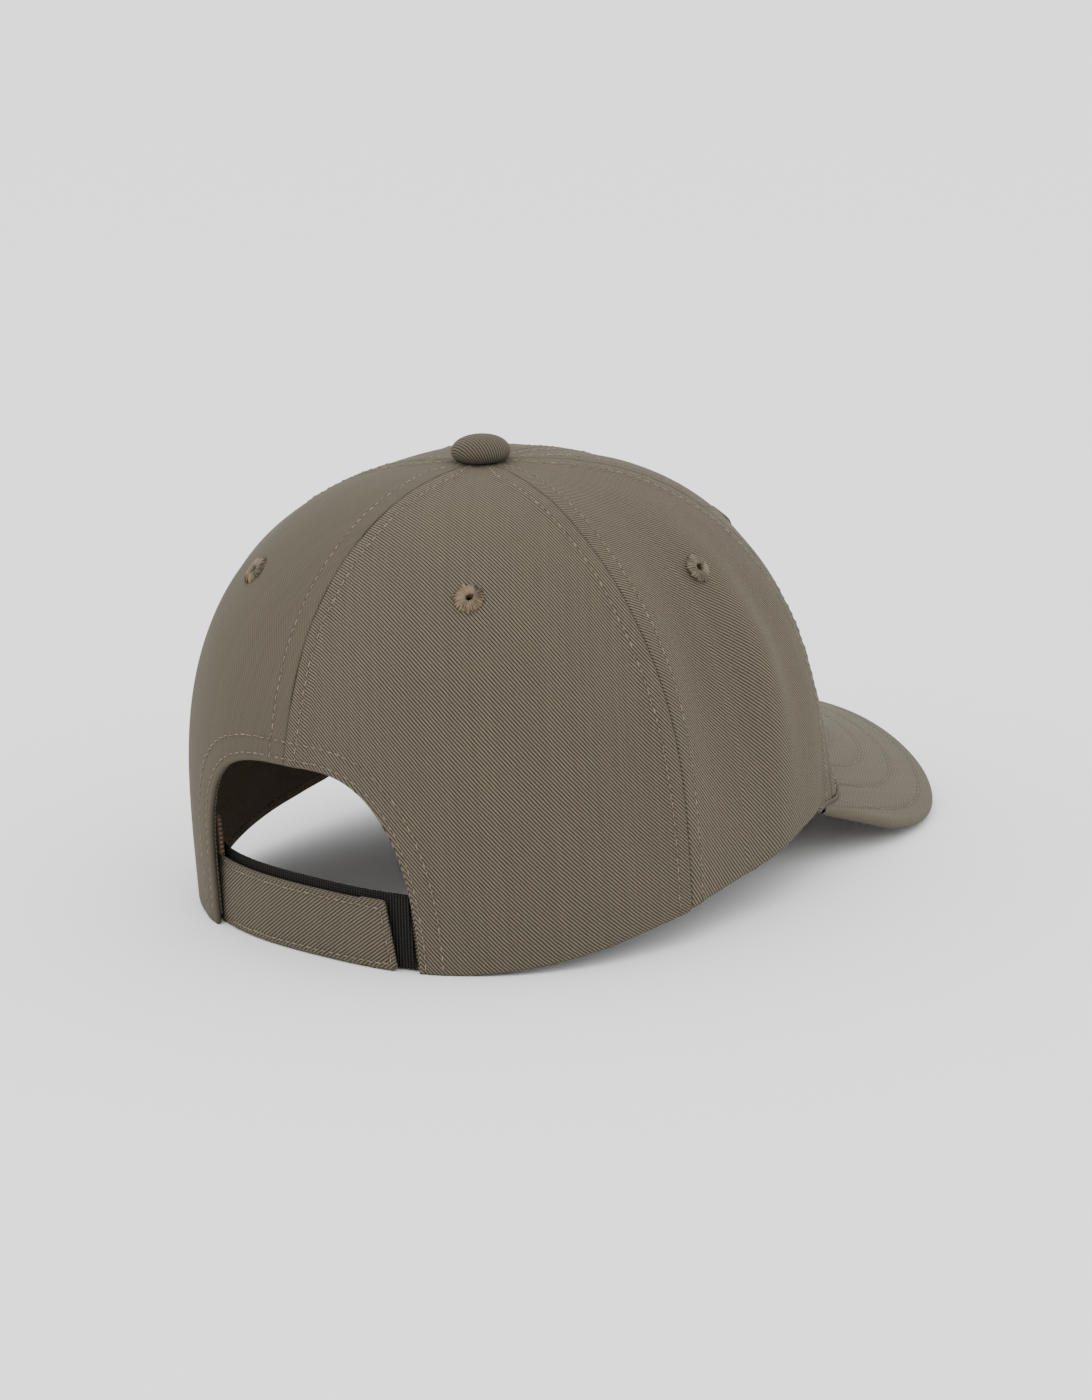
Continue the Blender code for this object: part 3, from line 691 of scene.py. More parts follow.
def roll_edges(table, faces, edges, cut, low):
    """Turns cut and low edges inwards round a half circle, and back a little way inside."""
    used = sorted({i for edge in edges for i in edge})
    base = table[used]
    out = unit(base[:, 3:6])
    size = np.where([i in cut for i in used], ARCH_ROLL, RIM_ROLL)[:, None]
    away = np.zeros((len(used), 3))
    step = 0.1 * MM
    for k, i in enumerate(used):
        if i in cut:
            here = base[k, :3]
            probe = np.array([here + (step, 0, 0), here - (step, 0, 0),
                              here + (0, 0, step), here - (0, 0, step)])
            d = from_arch(probe)
            away[k] -= unit(np.array([d[0] - d[1], 0.0, d[2] - d[3]]))
        if i in low:
            away[k] += (0.0, 0.0, -1.0)
    away = away - out * (away * out).sum(1, keepdims=True)
    length = np.linalg.norm(away, axis=1, keepdims=True)
    away = away / np.maximum(length, 1e-9) * np.clip(length, 1.0, 1.4)
    moves = [(math.sin(a), 1 - math.cos(a)) for a in np.linspace(0, math.pi, 8)[1:]]
    moves += [(-2.0, 2.0), (-5.0, 2.0)]
    previous = {i: i for i in used}
    for sideways, inward in moves:
        ring = base.copy()
        ring[:, :3] = base[:, :3] + away * size * sideways - out * size * inward
        shift = (away * size * (abs(sideways) + inward))
        ring[:, 6] = base[:, 6] + shift[:, 0] * np.sign(-base[:, 1] + 1)
        ring[:, 7] = base[:, 7] + shift[:, 2]
        # Painted shade: the hem gets darker as it turns inside.
        ring[:, 8] = base[:, 8] + 0.25 * min(inward, 1.5)
        start = len(table)
        table = np.vstack([table, ring])
        now = {i: start + k for k, i in enumerate(used)}
        for a, b in edges:
            faces.append((previous[b], previous[a], now[a], now[b]))
        previous = now
    return table, faces


def row_place(number, left):
    """How far the stitch row stands from a seam; the centre-back rows are not equally far."""
    if number == 0:
        return CENTRE_ROWS[0] if left else CENTRE_ROWS[1]
    return SEAM_ROW


def seam_lines(gores):
    """The stitch rows on both sides of each crown seam."""
    lines = []
    for first, gore in enumerate(gores):
        for left in (True, False):
            number = first if left else (first + 1) % 6
            low = 0.004
            if number == 0:
                low = float(t_at_height(np.array(0.0), ARCH_HEIGHT + ARCH_ROLL))
            rise = np.arange(np.interp(low, gore.t, gore.up), gore.up[-1] - 2 * MM, 0.8 * MM)
            t = np.interp(rise, gore.up, gore.t)
            width = np.interp(t, gore.t, gore.width)
            x = row_place(number, left) * np.clip(width / (22 * MM), 0.12, 1.0)
            x = (x if left else width - x)[:, None]
            points, out, _, _ = gore.cloth(x, t)
            lines.append((points[:, 0], out[:, 0]))
    return lines


def above_arch(angle, grow, depth=0.0):
    """Points and outward directions beside the arch's edge, grow outside its outline."""
    x, z = arch_edge(angle, grow)
    phi, t = phi_t_at(x, np.maximum(z, 0.0))
    out = normal(phi, t)
    from_seam = np.abs(x - 0.003)
    lift = 0.34 * MM * (1 - smooth((from_seam - SEAM_ROW) / (2.2 * MM))) * (z > 0.03)
    return surface(phi, t) + out * (lift + loosen(phi, t) - depth)[:, None], out


def arch_lines():
    lines = []
    for grow in ARCH_ROWS:
        angle = np.linspace(0.004, math.pi - 0.004, 420)
        lines.append(above_arch(angle, grow, -0.12 * MM))
    return lines


def make_facing():
    """The folded strip that finishes the arch inside."""
    rows, angle = [], np.linspace(0.002, math.pi - 0.002, 200)
    for share in np.linspace(0, 1, 9):
        grow = 0.4 * MM + share * 8.4 * MM
        depth = 1.95 * MM - 0.25 * MM * math.sin(share * math.pi) - 0.5 * MM * max(share - 0.85, 0) / 0.15
        rows.append(above_arch(angle, grow, depth)[0])
    points = np.array(rows)
    points[..., 2] = np.maximum(points[..., 2], 0.0005)
    along = np.cumsum(np.linalg.norm(np.diff(points[4], axis=0, prepend=points[4][:1]), axis=1))
    uv = np.stack(np.broadcast_arrays(along[None, :], np.linspace(0, 8.4 * MM, 9)[:, None]), -1)
    columns = points.shape[1]
    faces = [face[::-1] for face in grid_faces(len(rows), columns)]
    facing = shown("arch_facing_cloth", points.reshape(-1, 3), faces, uv.reshape(-1, 2), material=strap_cloth,
                   replaces=("arch_facing",), slot="twill")
    thicken(facing, 0.35 * MM, 1)
    return facing


# ---------------------------------------------------------------- eyelets and button

def tubes(paths, radii, sides=6):
    """Closed tubes along paths of points, each with its radius at every point."""
    points, faces, start = [], [], 0
    turn = np.arange(sides) * 2 * math.pi / sides
    for path, radius in zip(paths, radii):
        ahead = unit(np.gradient(path, axis=0))
        guide = np.array([0.31, 0.17, 0.94])
        side = unit(np.cross(ahead, guide))
        up = np.cross(side, ahead)
        circle = side[:, None] * np.cos(turn)[None, :, None] + up[:, None] * np.sin(turn)[None, :, None]
        points.append((path[:, None] + circle * radius[:, None, None]).reshape(-1, 3))
        rings = len(path)
        faces += [face[::-1] for face in grid_faces(rings, sides, start, ring=True)]
        faces.append(tuple(start + i for i in range(sides)))
        faces.append(tuple(start + (rings - 1) * sides + i for i in range(sides))[::-1])
        start += rings * sides
    return np.vstack(points), faces


def lathe(profile, steps, ripple=None):
    """Points, faces and cloth coordinates of a (radius, height) profile turned about Z."""
    profile = np.asarray(profile, float)
    along = np.concatenate([[0], np.cumsum(np.linalg.norm(np.diff(profile, axis=0), axis=1))])
    angle = np.arange(steps) * 2 * math.pi / steps
    radius = profile[:, :1] * np.ones(steps)
    if ripple is not None:
        radius = radius + ripple(profile[:, 1][:, None], angle[None, :])
    points = np.stack([radius * np.cos(angle), radius * np.sin(angle),
                       np.broadcast_to(profile[:, 1][:, None], radius.shape)], -1)
    uv = np.stack([along[:, None] * np.cos(angle), along[:, None] * np.sin(angle)], -1)
    return points.reshape(-1, 3), grid_faces(len(profile), steps, ring=True), uv.reshape(-1, 2)


def fine_profile(profile, count):
    """The same profile with evenly spaced points on a smooth curve."""
    profile = np.asarray(profile, float)
    for _ in range(3):
        inner = np.empty((2 * len(profile) - 2, 2))
        inner[0::2] = 0.75 * profile[:-1] + 0.25 * profile[1:]
        inner[1::2] = 0.25 * profile[:-1] + 0.75 * profile[1:]
        profile = np.vstack([profile[:1], inner, profile[-1:]])
    along = np.concatenate([[0], np.cumsum(np.linalg.norm(np.diff(profile, axis=0), axis=1))])
    at = np.linspace(0, along[-1], count)
    return np.stack([np.interp(at, along, profile[:, i]) for i in range(2)], -1)


def to_place(points, centre, out):
    """Points with +Z outward, moved to a place on the crown."""
    up = unit(np.array([0.0, 0.0, 1.0]) - out * out[2])
    side = np.cross(up, out)
    return centre + points[:, :1] * side + points[:, 1:2] * up + points[:, 2:] * out


def make_eyelet(first, kind):
    """Buttonhole stitches worked close together round a hole, outside and inside."""
    phi, t = (np.array(value) for value in eyelet_place(first, kind))
    out = normal(phi, t)
    centre = surface(phi, t) + out * float(loosen(phi, t))
    dice = np.random.default_rng(40 + first)
    paths, radii = [], []
    count = 52
    for k in range(count):
        angle = 2 * math.pi * (k + dice.normal(0, 0.16)) / count
        far = (4.75 + dice.normal(0, 0.28) - 0.35 * (k % 2)) * MM
        radius = np.array([1.0, 1.15, 1.6, 2.3, 3.0, 3.7, 4.3, 4.75]) / 4.75 * far
        height = np.array([-1.6, 0.15, 0.62, 0.72, 0.66, 0.50, 0.24, -0.25]) * MM
        height = height + dice.normal(0, 0.05) * MM
        swing = angle + np.linspace(0, 1, 8) * dice.normal(0.05, 0.03)
        paths.append(np.stack([radius * np.cos(swing), radius * np.sin(swing), height], -1))
        wide = np.array([0.10, 0.14, 0.19, 0.24, 0.27, 0.28, 0.25, 0.12]) * MM
        radii.append(wide * (1 + dice.normal(0, 0.10)))
    points, faces = tubes(paths, radii)
    ring = [(1.2, -1.7), (1.25, 0.0), (1.9, 0.45), (3.0, 0.50), (4.1, 0.2), (4.4, -0.3)]
    ring = fine_profile(ring, 16) * MM
    more, more_faces, _ = lathe(ring, 40)
    faces += [tuple(i + len(points) for i in face) for face in more_faces]
    points = np.vstack([points, more])
    start = len(points)
    inside = fine_profile([(3.5, -1.3), (3.4, -1.9), (2.6, -2.25), (1.7, -2.1), (1.15, -1.5)], 12) * MM
    more, more_faces, _ = lathe(inside, 40)
    faces += [tuple(i + start for i in face) for face in more_faces]
    points = np.vstack([points, more])
    material = gold if kind.startswith("back") else dull
    return shown("thread_eyelet_" + kind, to_place(points, centre, out), faces, material=material,
                 replaces=("eyelet_" + kind,), slot="eyelet_thread")


def make_button():
    profile = [(0.0, 8.0), (2.4, 7.95), (4.6, 7.55), (6.6, 6.75), (8.1, 5.6), (9.0, 4.1), (9.1, 2.7),
               (8.6, 1.6), (7.7, 0.75), (6.6, 0.35), (5.2, 0.3)]
    profile = fine_profile(profile, 44) * MM

    def gather(height, angle):
        low = smooth((2.6 * MM - height) / (2.2 * MM))
        return low * MM * (0.13 * np.cos(17 * angle) + 0.07 * np.cos(29 * angle + 1.0))

    points, faces, uv = lathe(profile, 96, gather)
    points = points + (0.0, BUTTON_Y + Y_SHIFT, CROWN_HEIGHT)
    button = shown("cloth_button", points, [face[::-1] for face in faces], uv, material=button_cloth,
                   replaces=("button_cover",), slot="twill")
    return button


# ---------------------------------------------------------------- visor

EDGE_ROLL = 1.9 * MM         # half the thickness of the visor's rounded edge
EDGE_FULL = 1.4 * MM         # how far the cloth stands out round that edge
VISOR_ROWS = (4.0, 13.0, 22.0, 31.0, 40.0, 49.0)    # stitch rows, in millimetres from the edge


def visor_outline(share, inset):
    """The visor's outer edge in plan, before Y_SHIFT: its right side, its curved front, its left side."""
    corner_x, corner_y = (float(v) for v in rim_xy(np.array(math.pi - VISOR_CORNER)))
    side = np.minimum(share, 1 - share)
    out = SIDE_START + (1 - SIDE_START) * np.minimum(side / VISOR_SIDE, 1)
    side_x = (abs(corner_x) * (1 - out) + VISOR_HALF_WIDTH * out - inset) * np.sign(share - 0.5)
    power = 2 / VISOR_POWER
    angle = math.pi * np.clip((share - VISOR_SIDE) / (1 - 2 * VISOR_SIDE), 0, 1)
    reach = VISOR_LENGTH + RIM_TO_FRONT + corner_y - VISOR_SET - inset
    x = np.where(side < VISOR_SIDE, side_x, -(VISOR_HALF_WIDTH - inset) * signed_power(np.cos(angle), power))
    y = np.where(side < VISOR_SIDE, corner_y - VISOR_SET * out,
                 corner_y - VISOR_SET - reach * np.abs(np.sin(angle)) ** power)
    return x, y


def visor_inset(x, y):
    """How far inside the visor's outer edge a place is."""
    corner_x, corner_y = (float(v) for v in rim_xy(np.array(math.pi - VISOR_CORNER)))
    front_y = corner_y - VISOR_SET
    low, high = np.zeros_like(x), np.full_like(x, 0.068)
    for _ in range(22):
        middle = (low + high) / 2
        wide = VISOR_HALF_WIDTH - middle
        deep = np.maximum(VISOR_LENGTH + RIM_TO_FRONT + front_y - middle, 1e-4)
        inside = (np.abs(x) / wide) ** VISOR_POWER + (np.maximum(front_y - y, 0) / deep) ** VISOR_POWER < 1
        low, high = np.where(inside, middle, low), np.where(inside, high, middle)
    return low


def visor_up(x):
    up = np.stack([2 * VISOR_ARCH * x, np.full_like(x, -VISOR_SLOPE), np.ones_like(x)], -1)
    return unit(up)


def visor_rise(x, y, inset):
    """The quilting of the visor's cloth between its stitch rows."""
    lift = np.zeros_like(x)
    for row in VISOR_ROWS:
        lift = lift - 0.20 * MM * bell(inset - row * MM, 0.75 * MM)
    return lift + 0.05 * MM * np.sin(x / (9 * MM)) * np.sin(y / (7 * MM))


def visor_points(share, out, inset, tuck, drop, quilt):
    """Points of a visor surface: share goes round the edge, and out from the crown to it."""
    inner_x, inner_y = rim_xy(math.pi - VISOR_CORNER + 2 * VISOR_CORNER * share)
    pull = tuck / np.hypot(inner_x, inner_y)
    outer_x, outer_y = visor_outline(share, inset)
    x = inner_x * (1 - pull) * (1 - out) + outer_x * out
    y = inner_y * (1 - pull) * (1 - out) + outer_y * out
    up = visor_up(x)
    lift = visor_rise(x, y, visor_inset(x, y)) if quilt else np.zeros_like(x)
    base = np.stack([x, y + Y_SHIFT, visor_z(x, y)], -1) + up * (lift - drop)[..., None]
    return base, up, np.stack([x, y], -1)


def visor_shares(count=150):
    """Steps round the visor, closer together at its corners."""
    even = np.linspace(0, 1, count)
    return even - 0.3 * np.sin(2 * math.pi * even) / (2 * math.pi)


def make_visor_cloth():
    share = visor_shares()[::-1]
    out = np.concatenate([np.linspace(0, 0.985, 78), [1.0]])
    s, o = np.meshgrid(share, out)
    top, up, plan = visor_points(s, o, EDGE_ROLL - EDGE_FULL, 1.6 * MM, 0.0, True)
    rows, uv = list(top), list(plan)
    edge, edge_up = top[-1], up[-1]
    ahead = unit(np.gradient(edge, axis=0))
    away = unit(np.cross(edge_up, ahead))
    away = away * np.where((away * (edge - edge.mean(0))).sum(1, keepdims=True) > 0, 1, -1)
    for a in np.linspace(0, math.pi, 12)[1:]:
        rows.append(edge + away * EDGE_ROLL * math.sin(a) - edge_up * EDGE_ROLL * (1 - math.cos(a)))
        uv.append(plan[-1] + away[:, :2] * EDGE_ROLL * a)
    for back in (1.2 * MM, 2.4 * MM):
        rows.append(edge - away * back - edge_up * (2 * EDGE_ROLL - 0.25 * MM * (back > 2 * MM)))
        uv.append(uv[-1] + away[:, :2] * back)
    points, uv = np.array(rows), np.array(uv)
    faces = grid_faces(len(rows), points.shape[1])
    crease_shade = np.zeros(points.shape[:2])
    inset = visor_inset(plan[..., 0], plan[..., 1])
    # Painted shade in the quilting's dips along the stitch rows, and strongly in the first rows, where the
    # visor meets the crown.
    for row in VISOR_ROWS:
        crease_shade[:len(top)] += 0.35 * bell(inset - row * MM, 0.5 * MM)
    crease_shade[:3] = 0.8
    cover = shown("cloth_visor_top", points.reshape(-1, 3), faces, uv.reshape(-1, 2), crease_shade.ravel(),
                  material=visor_cloth, replaces=("visor_top_cover",), slot="twill")
    s, o = np.meshgrid(share, np.linspace(0, 1, 60))
    low, _, plan = visor_points(s, o, 3.4 * MM, -0.4 * MM, 2 * EDGE_ROLL, False)
    inset = visor_inset(plan[..., 0], plan[..., 1])
    quilt = sum(0.12 * MM * bell(inset - row * MM, 0.6 * MM) for row in VISOR_ROWS[1:])
    low = low + visor_up(plan[..., 0]) * quilt[..., None]
    # Painted shade along the stitch rows and along the edge, where the under cover tucks under the rolled top
    # cover.
    crease_shade = sum(0.3 * bell(inset - row * MM, 0.5 * MM) for row in VISOR_ROWS)
    crease_shade = crease_shade + 0.6 * bell(inset - 3.4 * MM, 0.4 * MM)
    faces = [face[::-1] for face in grid_faces(60, len(share))]
    under = shown("cloth_visor_bottom", low.reshape(-1, 3), faces, (plan * (1, -1)).reshape(-1, 2),
                  np.clip(crease_shade, 0, 1).ravel(), material=under_cloth, replaces=("visor_bottom_cover",),
                  slot="twill")
    thicken(under, 0.5 * MM)
    return cover, under


def visor_lines(below=False):
    """The stitch rows that follow the visor's edge and end at the crown."""
    lines = []
    for row in VISOR_ROWS:
        share = np.linspace(0.0, 1.0, 700)
        x, y = visor_outline(share, row * MM)
        angle = np.arctan2(np.abs(x) / RIM_HALF_WIDTH, np.maximum(-y, 0) / RIM_TO_FRONT)
        reach = (np.abs(x) / (RIM_HALF_WIDTH + 2.5 * MM)) ** RIM_POWER
        reach = reach + (np.maximum(-y, 0) / (RIM_TO_FRONT + 2.5 * MM)) ** RIM_POWER
        kept = (reach > 1) & (y < 0) & (angle < 1.35)
        x, y = x[kept], y[kept]
        up = visor_up(x)
        lift = visor_rise(x, y, visor_inset(x, y))
        if below:
            lift = np.full_like(x, -2 * EDGE_ROLL - 0.45 * MM)
        line = np.stack([x, y + Y_SHIFT, visor_z(x, y)], -1) + up * lift[:, None]
        lines.append((line, -up if below else up))
    return lines


def make_welt():
    """The corded edge between the crown and the visor."""
    phi = np.linspace(math.pi - VISOR_CORNER - 0.11, math.pi + VISOR_CORNER + 0.11, 150)
    x, y = rim_xy(phi)
    past = smooth((np.abs(phi - math.pi) - VISOR_CORNER + 0.03) / 0.06)
    outward = unit(np.stack([x, y, 0 * x], -1)) * (0.3 * MM - 0.7 * MM * past)[:, None]
    line = np.stack([x, y + Y_SHIFT, rim_z(phi) - 0.65 * MM], -1) + outward
    taper = np.minimum(1, np.sin(np.linspace(0.02, math.pi - 0.02, 150)) * 20)
    taper = (0.75 * MM + 0.55 * MM * past) * taper
    points, faces = tubes([line], [taper], 10)
    uv = np.stack([np.repeat(np.arange(150) * MM, 10), np.tile(np.arange(10) * 0.47 * MM, 150)], -1)
    return shown("visor_welt", points, faces, uv, material=strap_cloth, slot="twill")


# ---------------------------------------------------------------- closure

def stack_depth(x):
    share = (x - STRAP_X[1]) / (STRAP_X[0] - STRAP_X[1])
    return STACK_RIGHT + (STACK_LEFT - STACK_RIGHT) * share


def band_points(x, z, depth):
    """Points of an upright band that follows the back of the rim."""
    phi = phi_at_x(x)
    out = normal(phi, np.full_like(phi, 0.01))
    out[..., 2] = 0
    place = rim_xy(phi)
    base = np.stack([place[0], place[1] + Y_SHIFT, z], -1)
    return base - unit(out) * depth[..., None]


def upright_strip(name, ends, low, high, layer, thickness, material, slot, corners=(0, 0), slant=0.0,
                  rows=(), tab=0.0, step=0.9 * MM, **options):
    """A flat band with rounded edges, from ends[0] to its free end at ends[1].

    corners are the radii of the free end's lower and upper corners, and rows the distances of its
    stitch rows from the edges.
    """
    length = abs(ends[1] - ends[0])
    way = math.copysign(1, ends[1] - ends[0])
    half = thickness / 2
    near_end = np.array([0, 0.04, 0.12, 0.25, 0.42, 0.65, 0.95, 1.3, 1.7, 2.2, 2.8, 3.5]) * MM
    from_end = np.concatenate([near_end, np.arange(4.3 * MM, length, step), [length]])[::-1]
    faces_up, edge_steps = 26, 7
    shares = np.linspace(0, 1, faces_up)
    arc = np.linspace(0, math.pi, edge_steps + 2)[1:-1]
    stations, uvs, crease_shades = [], [], []
    for q in from_end:
        end = math.sqrt(max(half * half - max(half - q, 0) ** 2, 1e-12)) / half
        bottom = low + (corners[0] - math.sqrt(max(corners[0] ** 2 - max(corners[0] - q, 0) ** 2, 0)))
        top = high - (corners[1] - math.sqrt(max(corners[1] ** 2 - max(corners[1] - q, 0) ** 2, 0)))
        top = top + tab * smooth((9.5 * MM - q) / (0.8 * MM))
        r = half * end
        z_face = bottom + r + (top - bottom - 2 * r) * shares
        dip = np.zeros(faces_up)
        crease_shade = np.zeros(faces_up)
        for row in rows:
            from_edge = np.minimum(np.minimum(z_face - bottom, top - z_face), q if q < 12 * MM else 1.0)
            dip += 0.16 * MM * bell(from_edge - row, 0.5 * MM)
            # Painted shade in the stitch row's dip.
            crease_shade += 0.35 * bell(from_edge - row, 0.4 * MM)
        dip -= 0.12 * MM * np.sin(shares * math.pi)
        z = np.concatenate([z_face, top - r + r * np.sin(arc), z_face[::-1], bottom + r - r * np.sin(arc)])
        w = np.concatenate([half - r + dip, half - r * np.cos(arc), half + r + 0 * dip,
                            half + r * np.cos(arc)])
        x = ends[0] + way * (length - q) + slant * (z - low) * (1 - q / length)
        stations.append(band_points(x, z, stack_depth(x) + layer + w))
        around = np.concatenate([z_face, top + r * arc, 2 * top - z_face[::-1], bottom - r * arc[::-1]])
        uvs.append(np.stack([x, around], -1))
        crease_shades.append(np.concatenate([crease_shade, 0 * arc, 0.3 * crease_shade[::-1], 0 * arc]))
    points = np.array(stations)
    count, ring = points.shape[:2]
    faces = grid_faces(count, ring, ring=True)
    faces.append(tuple(range(ring))[::-1])
    faces.append(tuple((count - 1) * ring + i for i in range(ring)))
    if way > 0:
        faces = [face[::-1] for face in faces]
    return shown(name, points.reshape(-1, 3), faces, np.array(uvs).reshape(-1, 2), np.array(crease_shades).ravel(),
                 material=material, slot=slot, **options)


def strip_line(points_xz, layer):
    """A stitch line on a band's outer face."""
    x, z = np.asarray(points_xz, float).T
    along = np.concatenate([[0], np.cumsum(np.hypot(np.diff(x), np.diff(z)))])
    at = np.linspace(0, along[-1], max(int(along[-1] / (0.5 * MM)), 4))
    x, z = np.interp(at, along, x), np.interp(at, along, z)
    line = band_points(x, z, stack_depth(x) + layer)
    return line, unit(line - band_points(x, z, stack_depth(x) + layer + MM))


# How deep each strip of the closure lies behind the outer strap's face
OUTER_THICK = 1.4 * MM
HOOK_LAYER = 1.45 * MM
LOOP_LAYER = 2.15 * MM
INNER_LAYER = 3.0 * MM
STRAP_ROW = 2.0 * MM          # from a strap's edge to its stitches
INNER_HINGE_X = -0.042
INNER_HEIGHT = 0.0224


def make_closure():
    root = 10 * MM
    outer = upright_strip("cloth_outer_strap", (STRAP_X[0] + root, STRAP_X[1]), 0.0, STRAP_HEIGHT, -0.35 * MM,
                          OUTER_THICK, strap_cloth, "twill", (2.2 * MM, 1.0 * MM), STRAP_SLANT,
                          (STRAP_ROW,), 0.5 * MM, body=None, replaces=("outer_strap",))
    hinge = band_points(np.array(STRAP_X[0]), np.array(0.01), stack_depth(np.array(STRAP_X[0])))
    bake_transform(outer)
    hooks = upright_strip("hook_tape_pile", (0.0230, -0.0290), 1.0 * MM, 20.0 * MM, HOOK_LAYER - 0.35 * MM,
                          0.75 * MM, pile, "hook_and_loop", (0.8 * MM, 0.8 * MM), STRAP_SLANT,
                          body="closure_strap", replaces=("hook_tape",))
    loops = upright_strip("loop_tape_woven", (0.0528, -0.0352), 0.6 * MM, 23.4 * MM, LOOP_LAYER - 0.2 * MM,
                          0.75 * MM, black_tape, "hook_and_loop", (0.5 * MM, 0.5 * MM), STRAP_SLANT / 2,
                          body="under_strap", replaces=("loop_tape",))
    inner = upright_strip("cloth_inner_strap", (0.0555, INNER_HINGE_X - root), 0.0, INNER_HEIGHT,
                          INNER_LAYER - 0.2 * MM, 1.1 * MM, strap_cloth, "twill", (0.0, 0.0), 0.0,
                          (STRAP_ROW,), body=None, replaces=("inner_strap",))
    hinge = band_points(np.array(INNER_HINGE_X), np.array(0.01),
                        stack_depth(np.array(INNER_HINGE_X)) + INNER_LAYER)
    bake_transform(inner)
    top, end = STRAP_HEIGHT - STRAP_ROW, STRAP_X[1] + STRAP_ROW
    path = [(STRAP_X[0] - 4 * MM, STRAP_ROW), (end, STRAP_ROW), (end + STRAP_SLANT * top, top),
            (STRAP_X[0] - 4 * MM, top)]
    line = strip_line(path, -0.33 * MM)
    sew("outer_strap_stitching", [line], sewing, body="closure_strap", seed=21)


# ---------------------------------------------------------------- inside

def ring_strip(name, path_of, stations, width, thickness, material, slot, replaces, across=9):
    """A band with rounded edges along a path inside the crown.

    path_of(station, sideways, depth) gives a point; sideways goes from 0 to width.
    """
    half = thickness / 2
    face = np.linspace(half, width - half, across)
    arc = np.linspace(0, math.pi, 6)[1:-1]
    sideways = np.concatenate([face, width - half + half * np.sin(arc), face[::-1],
                               half - half * np.sin(arc)])
    depth = np.concatenate([0 * face, half - half * np.cos(arc), 0 * face + thickness,
                            half + half * np.cos(arc)])
    points = np.array([path_of(station, sideways, depth) for station in stations])
    count, ring = points.shape[:2]
    middle = points[:, across // 2]
    along = np.concatenate([[0], np.cumsum(np.linalg.norm(np.diff(middle, axis=0), axis=1))])
    uv = np.stack(np.broadcast_arrays(along[:, None], sideways[None, :]), -1)
    faces = grid_faces(count, ring, ring=True)
    faces += [tuple(range(ring))[::-1], tuple((count - 1) * ring + i for i in range(ring))]
    return shown(name, points.reshape(-1, 3), faces, uv.reshape(-1, 2), material=material, slot=slot,
                 replaces=replaces)


def band_place(phi, rise, depth, base=4.0 * MM):
    phi = phi + 0 * rise
    low = np.maximum(rim_z(phi), 0.0) + 1.3 * MM
    top = rise / (32 * MM)
    t = t_at_height(phi, low + rise * (1 + 0.012 * np.sin(9 * phi)))
    return crown(phi, t, base + depth + 0.35 * MM * np.sin(13 * phi) * top + 0.2 * MM * np.sin(math.pi * top))


def make_band():
    start, end = float(phi_at_x(-0.0445)), 2 * math.pi + float(phi_at_x(0.0470))
    stations = np.linspace(start, end, 240)
    band = ring_strip("cloth_sweatband", band_place, stations, 32 * MM, 1.2 * MM, band_cloth,
                      "sweatband_twill", ("sweatband",), 22)
    lines = []
    for rise in (3.0 * MM, 28.5 * MM):
        phi = np.linspace(start + 0.02, end - 0.02, 900)
        inside = band_place(phi, np.full_like(phi, rise), 1.2 * MM)
        out = -normal(phi, np.full_like(phi, 0.05))
        lines.append((inside, out))
    sew("sweatband_stitching", lines, black_thread, slot="seam_tape", seed=31)


def seam_tape(name, number, low, high, depth, replaces):
    width = 12 * MM

    def place(t, sideways, inward):
        phi = seam(number, np.array(t))
        centre = crown(phi, np.array(t), 0.0)
        out = normal(phi, np.array(t))
        ahead = unit(crown(seam(number, np.array(t + 0.01)), np.array(t + 0.01), 0.0) - centre)
        across = unit(np.cross(ahead, out))
        bend = (sideways - width / 2) ** 2 / (2 * 0.09)
        return centre + across * (sideways - width / 2)[:, None] - out * (depth + inward + bend)[:, None]

    tape = ring_strip(name, place, np.linspace(low, high, 70), width, 0.6 * MM, black_tape, "seam_tape",
                      replaces)
    lines = []
    heights = np.linspace(low, high, 160)
    for sideways in (1.6 * MM, width - 1.6 * MM):
        line = np.array([place(t, np.array([sideways]), np.array([0.6 * MM]))[0] for t in heights])
        lines.append((line, -normal(seam(number, heights), heights)))
    return lines


def make_centre_tape(depth):
    width = 12 * MM
    end = float(t_at_height(np.array(0.0), ARCH_HEIGHT + 10 * MM))
    front = [(math.pi, t) for t in np.linspace(0.03, 0.95, 60)]
    back = [(seam(0, t), t) for t in np.linspace(0.95, end, 45)]
    points = [crown(np.array(phi), np.array(t), depth) for phi, t in front]
    outs = [normal(np.array(phi), np.array(t)) for phi, t in front]
    for share in np.linspace(0, 1, 8)[1:-1]:
        points.append(points[59] * (1 - share) + crown(np.array(back[0][0]), np.array(0.95), depth) * share)
        outs.append(np.array([0.0, 0.0, 1.0]))
    points += [crown(np.array(phi), np.array(t), depth) for phi, t in back]
    outs += [normal(np.array(phi), np.array(t)) for phi, t in back]
    line, outs = np.array(points), unit(np.array(outs))
    ahead = unit(np.gradient(line, axis=0))
    across = unit(np.cross(ahead, outs))

    def place(k, sideways, inward):
        bend = (sideways - width / 2) ** 2 / (2 * 0.09)
        return line[k] + across[k] * (sideways - width / 2)[:, None] - outs[k] * (inward + bend)[:, None]

    tape = ring_strip("tape_centre_woven", place, range(len(line)), width, 0.6 * MM, black_tape, "seam_tape",
                      ("tape_centre",))
    lines = []
    for sideways in (1.6 * MM, width - 1.6 * MM):
        inner = np.array([place(k, np.array([sideways]), np.array([0.6 * MM]))[0] for k in range(len(line))])
        lines.append((inner, -outs))
    return lines


